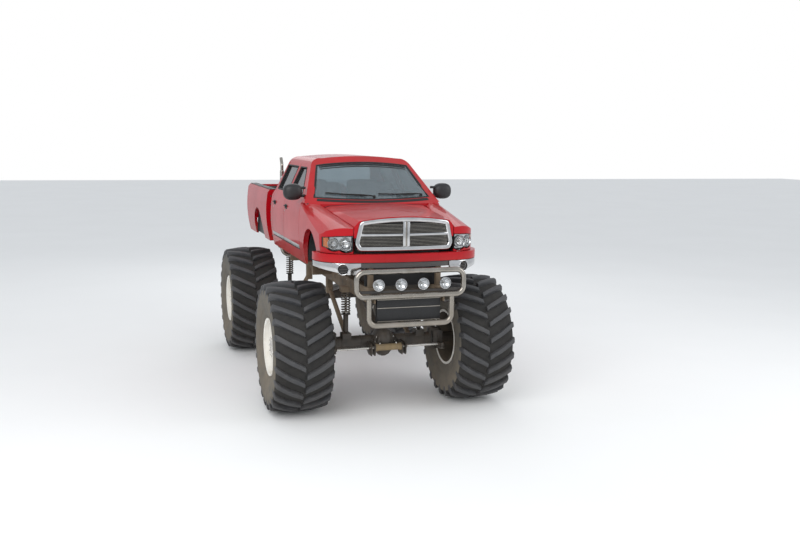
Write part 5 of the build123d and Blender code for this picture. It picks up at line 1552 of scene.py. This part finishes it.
def addTrim(bm, stations, width, height, index=0, closed=False):
    # a low crowned strip through stations of (place, normal), open underneath
    rings = []
    count = len(stations)
    for item, (place, normal) in enumerate(stations):
        after = stations[(item + 1) % count][0] if closed or item < count - 1 else place
        earlier = stations[item - 1][0] if closed or item else place
        across = (after - earlier).normalized().cross(normal).normalized()
        rings.append([bm.verts.new(place + across * width * share + normal * height * lift)
                      for share, lift in ((-0.5, -0.25), (-0.5, 0.5), (-0.36, 0.9), (0.0, 1.0), (0.36, 0.9),
                                          (0.5, 0.5), (0.5, -0.25))])
    return skinRings(bm, rings, index, endless=closed, looped=False)


def alongPath(tree, points, way, step=0.03, closed=False):
    # the points' straight runs sampled and landed on the surface
    stations = []
    runs = list(zip(points, points[1:] + points[:1])) if closed else list(zip(points, points[1:]))
    for start, end in runs:
        start, end = Vector(start), Vector(end)
        count = max(int((end - start).length / step), 1)
        for item in range(count):
            landed = landOn(tree, start + (end - start) * item / count, way)
            if landed:
                stations.append(landed)
    if not closed:
        landed = landOn(tree, points[-1], way)
        if landed:
            stations.append(landed)
    return stations


trim = {
    "mouldZ": 2.030,
    "mouldWidth": 0.046,
    "handleZ": 2.500,
    "handles": {"front": (1.470, 1.625), "rear": (2.330, 2.490)},
    "windows": {
        "front": [(0.792, 2.712), (1.230, 3.050), (1.598, 3.050), (1.621, 2.712)],
        "rear": [(1.772, 2.712), (1.772, 3.050), (2.488, 3.050), (2.511, 2.712)],
    },
    "lining": ((-0.001, 0.003), (0.0025, 0.003), (0.0025, 0.064), (-0.001, 0.064)),      # inwards, depth
    "doorSpans": {"front": (0.650, 1.672), "rear": (1.716, 2.560)},
}


def lineWindow(bm, panel, outline, sign):
    # the opening's inner faces get a thin rubber lining
    opening = roundOutline(outline, 0.012, 3)
    if sum(y * after[1] - after[0] * z for (y, z), after in zip(opening, opening[1:] + opening[:1])) < 0:
        opening = opening[::-1]
    rings = []
    for inwards, depth in trim["lining"]:
        ring = []
        for (y, z), (edgeY, edgeZ) in zip(insetOutline(opening, inwards), insetOutline(opening, -0.006)):
            place = landOn(panel, (sign * 1.6, edgeY, edgeZ), (-sign, 0, 0))[0]
            ring.append(bm.verts.new((place.x - sign * depth, y, z)))
        rings.append(ring)
    skinRings(bm, rings, 1, endless=True)


def makeDoorTrim(end, side, sign):
    bm = bmesh.new()
    body = f"door_{end}_{side}"
    panel = surfaceOf([body])
    way, far = (-sign, 0, 0), sign * 1.6
    low, high = trim["doorSpans"][end]
    for z, width, height, index in ((trim["mouldZ"], trim["mouldWidth"], 0.010, 0),
                                    (trim["mouldZ"] - 0.031, 0.012, 0.006, 1)):
        addTrim(bm, alongPath(panel, [(far, low, z), (far, high, z)], way, 0.06), width, height, index)
    # the handle: a dished plate and a grip held off it
    start, stop = trim["handles"][end]
    z = trim["handleZ"]
    addTrim(bm, alongPath(panel, [(far, start, z), (far, stop, z)], way, 0.02), 0.062, 0.004, 1)
    grip = [(place + normal * 0.020, normal) for place, normal in
            alongPath(panel, [(far, start + 0.020, z + 0.008), (far, stop - 0.020, z + 0.008)], way, 0.02)]
    addTube(bm, [], 0.0085, segments=12, index=1, stations=[(place, Vector((0, 1, 0))) for place, _ in grip])
    for place, normal in (grip[0], grip[-1]):
        addRod(bm, place - normal * 0.022, place, 0.009, segments=14, index=1, bevel=0.001)
    place, normal = landOn(panel, (far, stop - 0.004, z - 0.062), way)
    addLathe(bm, [(-0.001, 0.011), (0.002, 0.011), (0.003, 0.009), (0.003, 0.0)], place, normal, 20, 2)
    # the window's seal, just outside its edge
    outline = trim["windows"][end]
    centreY, centreZ = sum(y for y, _ in outline) / 4, sum(z for _, z in outline) / 4
    points = [(far, y + math.copysign(0.009, y - centreY), z + math.copysign(0.009, z - centreZ))
              for y, z in outline]
    addTrim(bm, alongPath(panel, points, way, 0.04, closed=True), 0.020, 0.0045, 1, closed=True)
    lineWindow(bm, panel, outline, sign)
    makePiece(f"{body}_trim", bm, [mouldGrey, sealRubber, chrome], body, smoothAngle=60)


for end in ("front", "rear"):
    for side, sign in (("left", 1), ("right", -1)):
        makeDoorTrim(end, side, sign)

screen = {
    "foot": (0.800, 2.674, 0.022),       # half width, height in the middle, how much higher at the corners
    "head": (0.646, 3.142, -0.043),
    "bandHalf": 0.615,
    "bands": ((3.112, 0.034), (3.088, 0.022)),       # height in the middle and width
    "cowlHalf": 0.775,
    "cowlZ": 2.645,
    "wipers": ((0.690, 0.060), (-0.010, -0.640)),    # pivot and tip
    "rear": ((-0.606, 2.714), (0.606, 2.714), (0.566, 3.046), (-0.566, 3.046)),
}


def aheadOfScreen(edge, x, z):
    # a point ahead of the cab, as much higher than z as that edge of the screen is bowed there
    half, _, rise = screen[edge]
    return (x, -2.0, z + rise * (x / half)**2)


def screenRow(edge, start, z, count=13):
    return [aheadOfScreen(edge, start - 2 * start * item / (count - 1), z) for item in range(count)]


def makeScreenTrim():
    bm = bmesh.new()
    cab = surfaceOf(["cab_shell", "cab_glass"])
    ahead = (0, 1, 0)
    foot, head = screen["foot"], screen["head"]
    points = screenRow("foot", -foot[0], foot[1]) + screenRow("head", head[0], head[1])
    addTrim(bm, alongPath(cab, points, ahead, 0.08, closed=True), 0.026, 0.004, closed=True)
    # the dark bands along the glass's top, and the cowl panel's plastic below it
    for z, width in screen["bands"]:
        addTrim(bm, alongPath(cab, screenRow("head", screen["bandHalf"], z), ahead, 0.08), width, 0.0012)
    points = screenRow("foot", -screen["cowlHalf"], screen["cowlZ"], 15)
    addTrim(bm, alongPath(cab, points, ahead, 0.08), 0.052, 0.003)
    # wipers
    for pivot, tip in screen["wipers"]:
        reach = tip - pivot
        blade = []
        for item in range(9):
            share = 0.16 + 0.84 * item / 8
            spot = aheadOfScreen("foot", pivot + reach * share, 2.706 + 0.024 * share)
            place, normal = landOn(cab, spot, ahead)
            blade.append((place + normal * 0.012, normal))
        addTrim(bm, blade, 0.015, 0.011)
        arm = []
        for share, lift in ((0.0, 0.010), (0.06, 0.028), (0.30, 0.034), (0.58, 0.026)):
            spot = aheadOfScreen("foot", pivot + reach * share, 2.698 + 0.024 * share)
            place, normal = landOn(cab, spot, ahead)
            arm.append(place + normal * lift)
        addTube(bm, arm, 0.008, bend=0.05, segments=10, steps=3)
        addLathe(bm, [(-0.020, 0.018), (0.010, 0.018), (0.016, 0.014), (0.018, 0.0)], arm[0], (0, -0.6, 0.8),
                 20)
    # rear window's seal
    points = [(x, 6.0, z) for x, z in screen["rear"]]
    addTrim(bm, alongPath(cab, points, (0, -1, 0), 0.06, closed=True), 0.020, 0.004, closed=True)
    makePiece("screenTrim", bm, [sealRubber], "chassis", smoothAngle=60)


makeScreenTrim()


def makeAntenna():
    bm = bmesh.new()
    place = landOn(surfaceOf(["fender_right", "cowl"]), (-0.90, 0.44, 3.4), (0, 0, -1))[0]
    addLathe(bm, [(-0.004, 0.022), (0.004, 0.020), (0.010, 0.012), (0.022, 0.008), (0.026, 0.0)], place,
             (0, 0, 1), 24)
    makePiece("antennaBase", bm, [blackPlastic], "chassis")


makeAntenna()

# Bed: rail caps, bolts on the front wall, the bed's lining, and the liners of all four arches
bedTrim = {
    "front": 3.000,
    "rear": 4.930,
    "railZ": 2.655,
    "capInner": 0.826,
    "capOuter": 0.938,
    "pocketY": (3.30, 3.92, 4.54),
    "frontArch": (0.0, 1.900, 0.426, 0.600, 0.900),      # y, z, radius, inner and outer x
    "bedArch": (3.850, 1.900, 0.408, 0.9025, 0.936),
    "sheet": 0.003,        # the lining's thickness
    "sheetGap": 0.001,     # between the lining and the bed
    "gateGap": 0.015,      # between the floor's lining and the tailgate
}


def makeBedTrim():
    bm = bmesh.new()
    front, rear, top = bedTrim["front"], bedTrim["rear"], bedTrim["railZ"]
    inner, outer = bedTrim["capInner"], bedTrim["capOuter"]
    for side in (-1, 1):
        addSideBox(bm, side, (inner, front + 0.002, top - 0.002), (outer, rear - 0.004, top + 0.012), 0.005)
        addSideBox(bm, side, (inner + 0.001, front + 0.03, top - 0.030),
                   (inner + 0.009, rear - 0.080, top + 0.002), 0.002)
        for y in bedTrim["pocketY"]:
            addSideBox(bm, side, (inner + 0.020, y - 0.032, top + 0.010),
                       (outer - 0.020, y + 0.032, top + 0.0145), 0.002)
    addBox(bm, (-inner, front + 0.002, top - 0.002), (inner, front + 0.034, top + 0.012), 0.005)
    makePiece("bedCaps", bm, [blackPlastic], "chassis")
    bm = bmesh.new()
    ahead = (0, -1, 0)
    for side in (-1, 1):
        rows = [(side * (0.905 + 0.012 * min(item, 2)), front, 1.93 + item * 0.125) for item in range(6)]
        addBolts(bm, rows, ahead, 0.013, 0.007)
        addBolts(bm, [(side * (0.16 + item * 0.16), front, 1.90) for item in range(5)], ahead, 0.010, 0.006)
    makePiece("bedBolts", bm, [chassisBlack], "chassis")


makeBedTrim()


def makeLiner(name, place):
    # thin round skins inside both arches, open below
    bm = bmesh.new()
    y, z, radius, inner, outer = place
    for side in (-1, 1):
        addLathe(bm, [(inner, 0.0), (inner, radius - 0.020), (inner + 0.020, radius), (outer, radius),
                      (outer, radius - 0.006), (inner + 0.022, radius - 0.006),
                      (inner + 0.006, radius - 0.024), (inner + 0.006, 0.0)], (0, y, z), (side, 0, 0), 64)
    bmesh.ops.bisect_plane(bm, geom=[*bm.verts, *bm.edges, *bm.faces], plane_co=(0, 0, z - 0.028),
                           plane_no=(0, 0, -1), clear_outer=True)
    makePiece(name, bm, [blackPlastic], "chassis", smoothAngle=45)


def makeGateTrim():
    bm = bmesh.new()
    rear = surfaceOf(["tailgate"])
    y = landOn(rear, (0, 6.0, 2.575), (0, -1, 0))[0].y
    addBox(bm, (-0.085, y - 0.004, 2.552), (0.085, y + 0.001, 2.598), 0.002)
    addBox(bm, (-0.068, y - 0.001, 2.575), (0.068, y + 0.001, 2.592), 0.0009, 1)
    addTrim(bm, alongPath(rear, [(-0.74, 6.0, 2.636), (0.74, 6.0, 2.636)], (0, -1, 0), 0.1), 0.012, 0.001)
    makePiece("gateHandle", bm, [sealRubber, greyPlastic], "tailgate")


def makeBedLining():
    # dark sheets just inside the bed's floor, walls and tailgate
    bm = bmesh.new()
    bed = surfaceOf(["bed"])
    start = (0, 4.0, 2.45)
    sheet, gap = bedTrim["sheet"], bedTrim["sheetGap"]
    side = landOn(bed, start, (1, 0, 0))[0].x - gap
    front = landOn(bed, start, (0, -1, 0))[0].y + gap
    floor = landOn(bed, start, (0, 0, -1))[0].z + gap
    gateFace = landOn(surfaceOf(["tailgate"]), start, (0, 1, 0))[0].y
    rear = gateFace - bedTrim["gateGap"]
    top = bedTrim["railZ"] - 0.012
    addBox(bm, (-side, front, floor), (side, rear, floor + sheet), 0.001)
    addBox(bm, (-side, front, floor), (side, front + sheet, top), 0.001)
    for sign in (-1, 1):
        addSideBox(bm, sign, (side - sheet, front, floor), (side, rear, top), 0.001)
    makePiece("bedLining", bm, [chassisBlack], "chassis")
    gate = bmesh.new()
    face = gateFace - 0.0005
    addBox(gate, (0.030 - side, face - sheet, floor + 0.040), (side - 0.030, face, top - 0.030), 0.001)
    makePiece("gateLining", gate, [chassisBlack], "tailgate")


makeBedLining()
makeGateTrim()
makeLiner("frontLiners", bedTrim["frontArch"])
makeLiner("bedLiners", bedTrim["bedArch"])
print("trim made")


# Floor, light and the white background
light = {
    "aim": (0, 0, 1.6),
    "keyPlace": (-6.5, -9.0, 8.5),
    "keySize": 10.0,
    "keyPower": 700,
    "fillPlace": (9.0, -7.0, 6.0),
    "fillSize": 7.0,
    "fillPower": 260,
    "backPlace": (2.0, 9.0, 8.0),
    "backSize": 9.0,
    "backPower": 150,
    "worldColour": (0.88, 0.92, 0.97),
    "worldStrength": 0.80,
}


def makeArea(name):
    data = bpy.data.lights.new(name, "AREA")
    data.shape = "DISK"
    data.size = light[name + "Size"]
    data.energy = light[name + "Power"]
    lamp = bpy.data.objects.new(name, data)
    place = Vector(light[name + "Place"])
    lamp.location = place
    lamp.rotation_euler = (Vector(light["aim"]) - place).to_track_quat("-Z", "Y").to_euler()
    bpy.context.collection.objects.link(lamp)


def makeFloor():
    bm = bmesh.new()
    bmesh.ops.create_grid(bm, x_segments=1, y_segments=1, size=60)
    mesh = bpy.data.meshes.new("floor")
    bm.to_mesh(mesh)
    bm.free()
    mesh.materials.append(makeMaterial("floorPaper", (0.92, 0.915, 0.90), 0.90, second=(0.90, 0.895, 0.88),
                                       scale=0.4))
    piece = bpy.data.objects.new("floor", mesh)
    bpy.context.collection.objects.link(piece)


def makeWorld():
    world = bpy.data.worlds.new("soft")
    bpy.context.scene.world = world
    world.use_nodes = True
    tree = world.node_tree
    sky = tree.nodes["Background"]
    sky.inputs["Color"].default_value = (*light["worldColour"], 1)
    sky.inputs["Strength"].default_value = light["worldStrength"]
    white = tree.nodes.new("ShaderNodeBackground")
    white.inputs["Color"].default_value = (1, 1, 1, 1)
    white.inputs["Strength"].default_value = 1
    ray = tree.nodes.new("ShaderNodeLightPath")
    seen = addMath(tree, "MAXIMUM", ray.outputs["Is Camera Ray"], ray.outputs["Is Transmission Ray"])
    mix = tree.nodes.new("ShaderNodeMixShader")
    tree.links.new(seen, mix.inputs["Fac"])
    tree.links.new(sky.outputs["Background"], mix.inputs[1])
    tree.links.new(white.outputs["Background"], mix.inputs[2])
    tree.links.new(mix.outputs["Shader"], tree.nodes["World Output"].inputs["Surface"])


makeFloor()
makeWorld()
for name in ("key", "fill", "back"):
    makeArea(name)
bpy.context.scene.view_settings.view_transform = "Standard"
print("stage and light made")
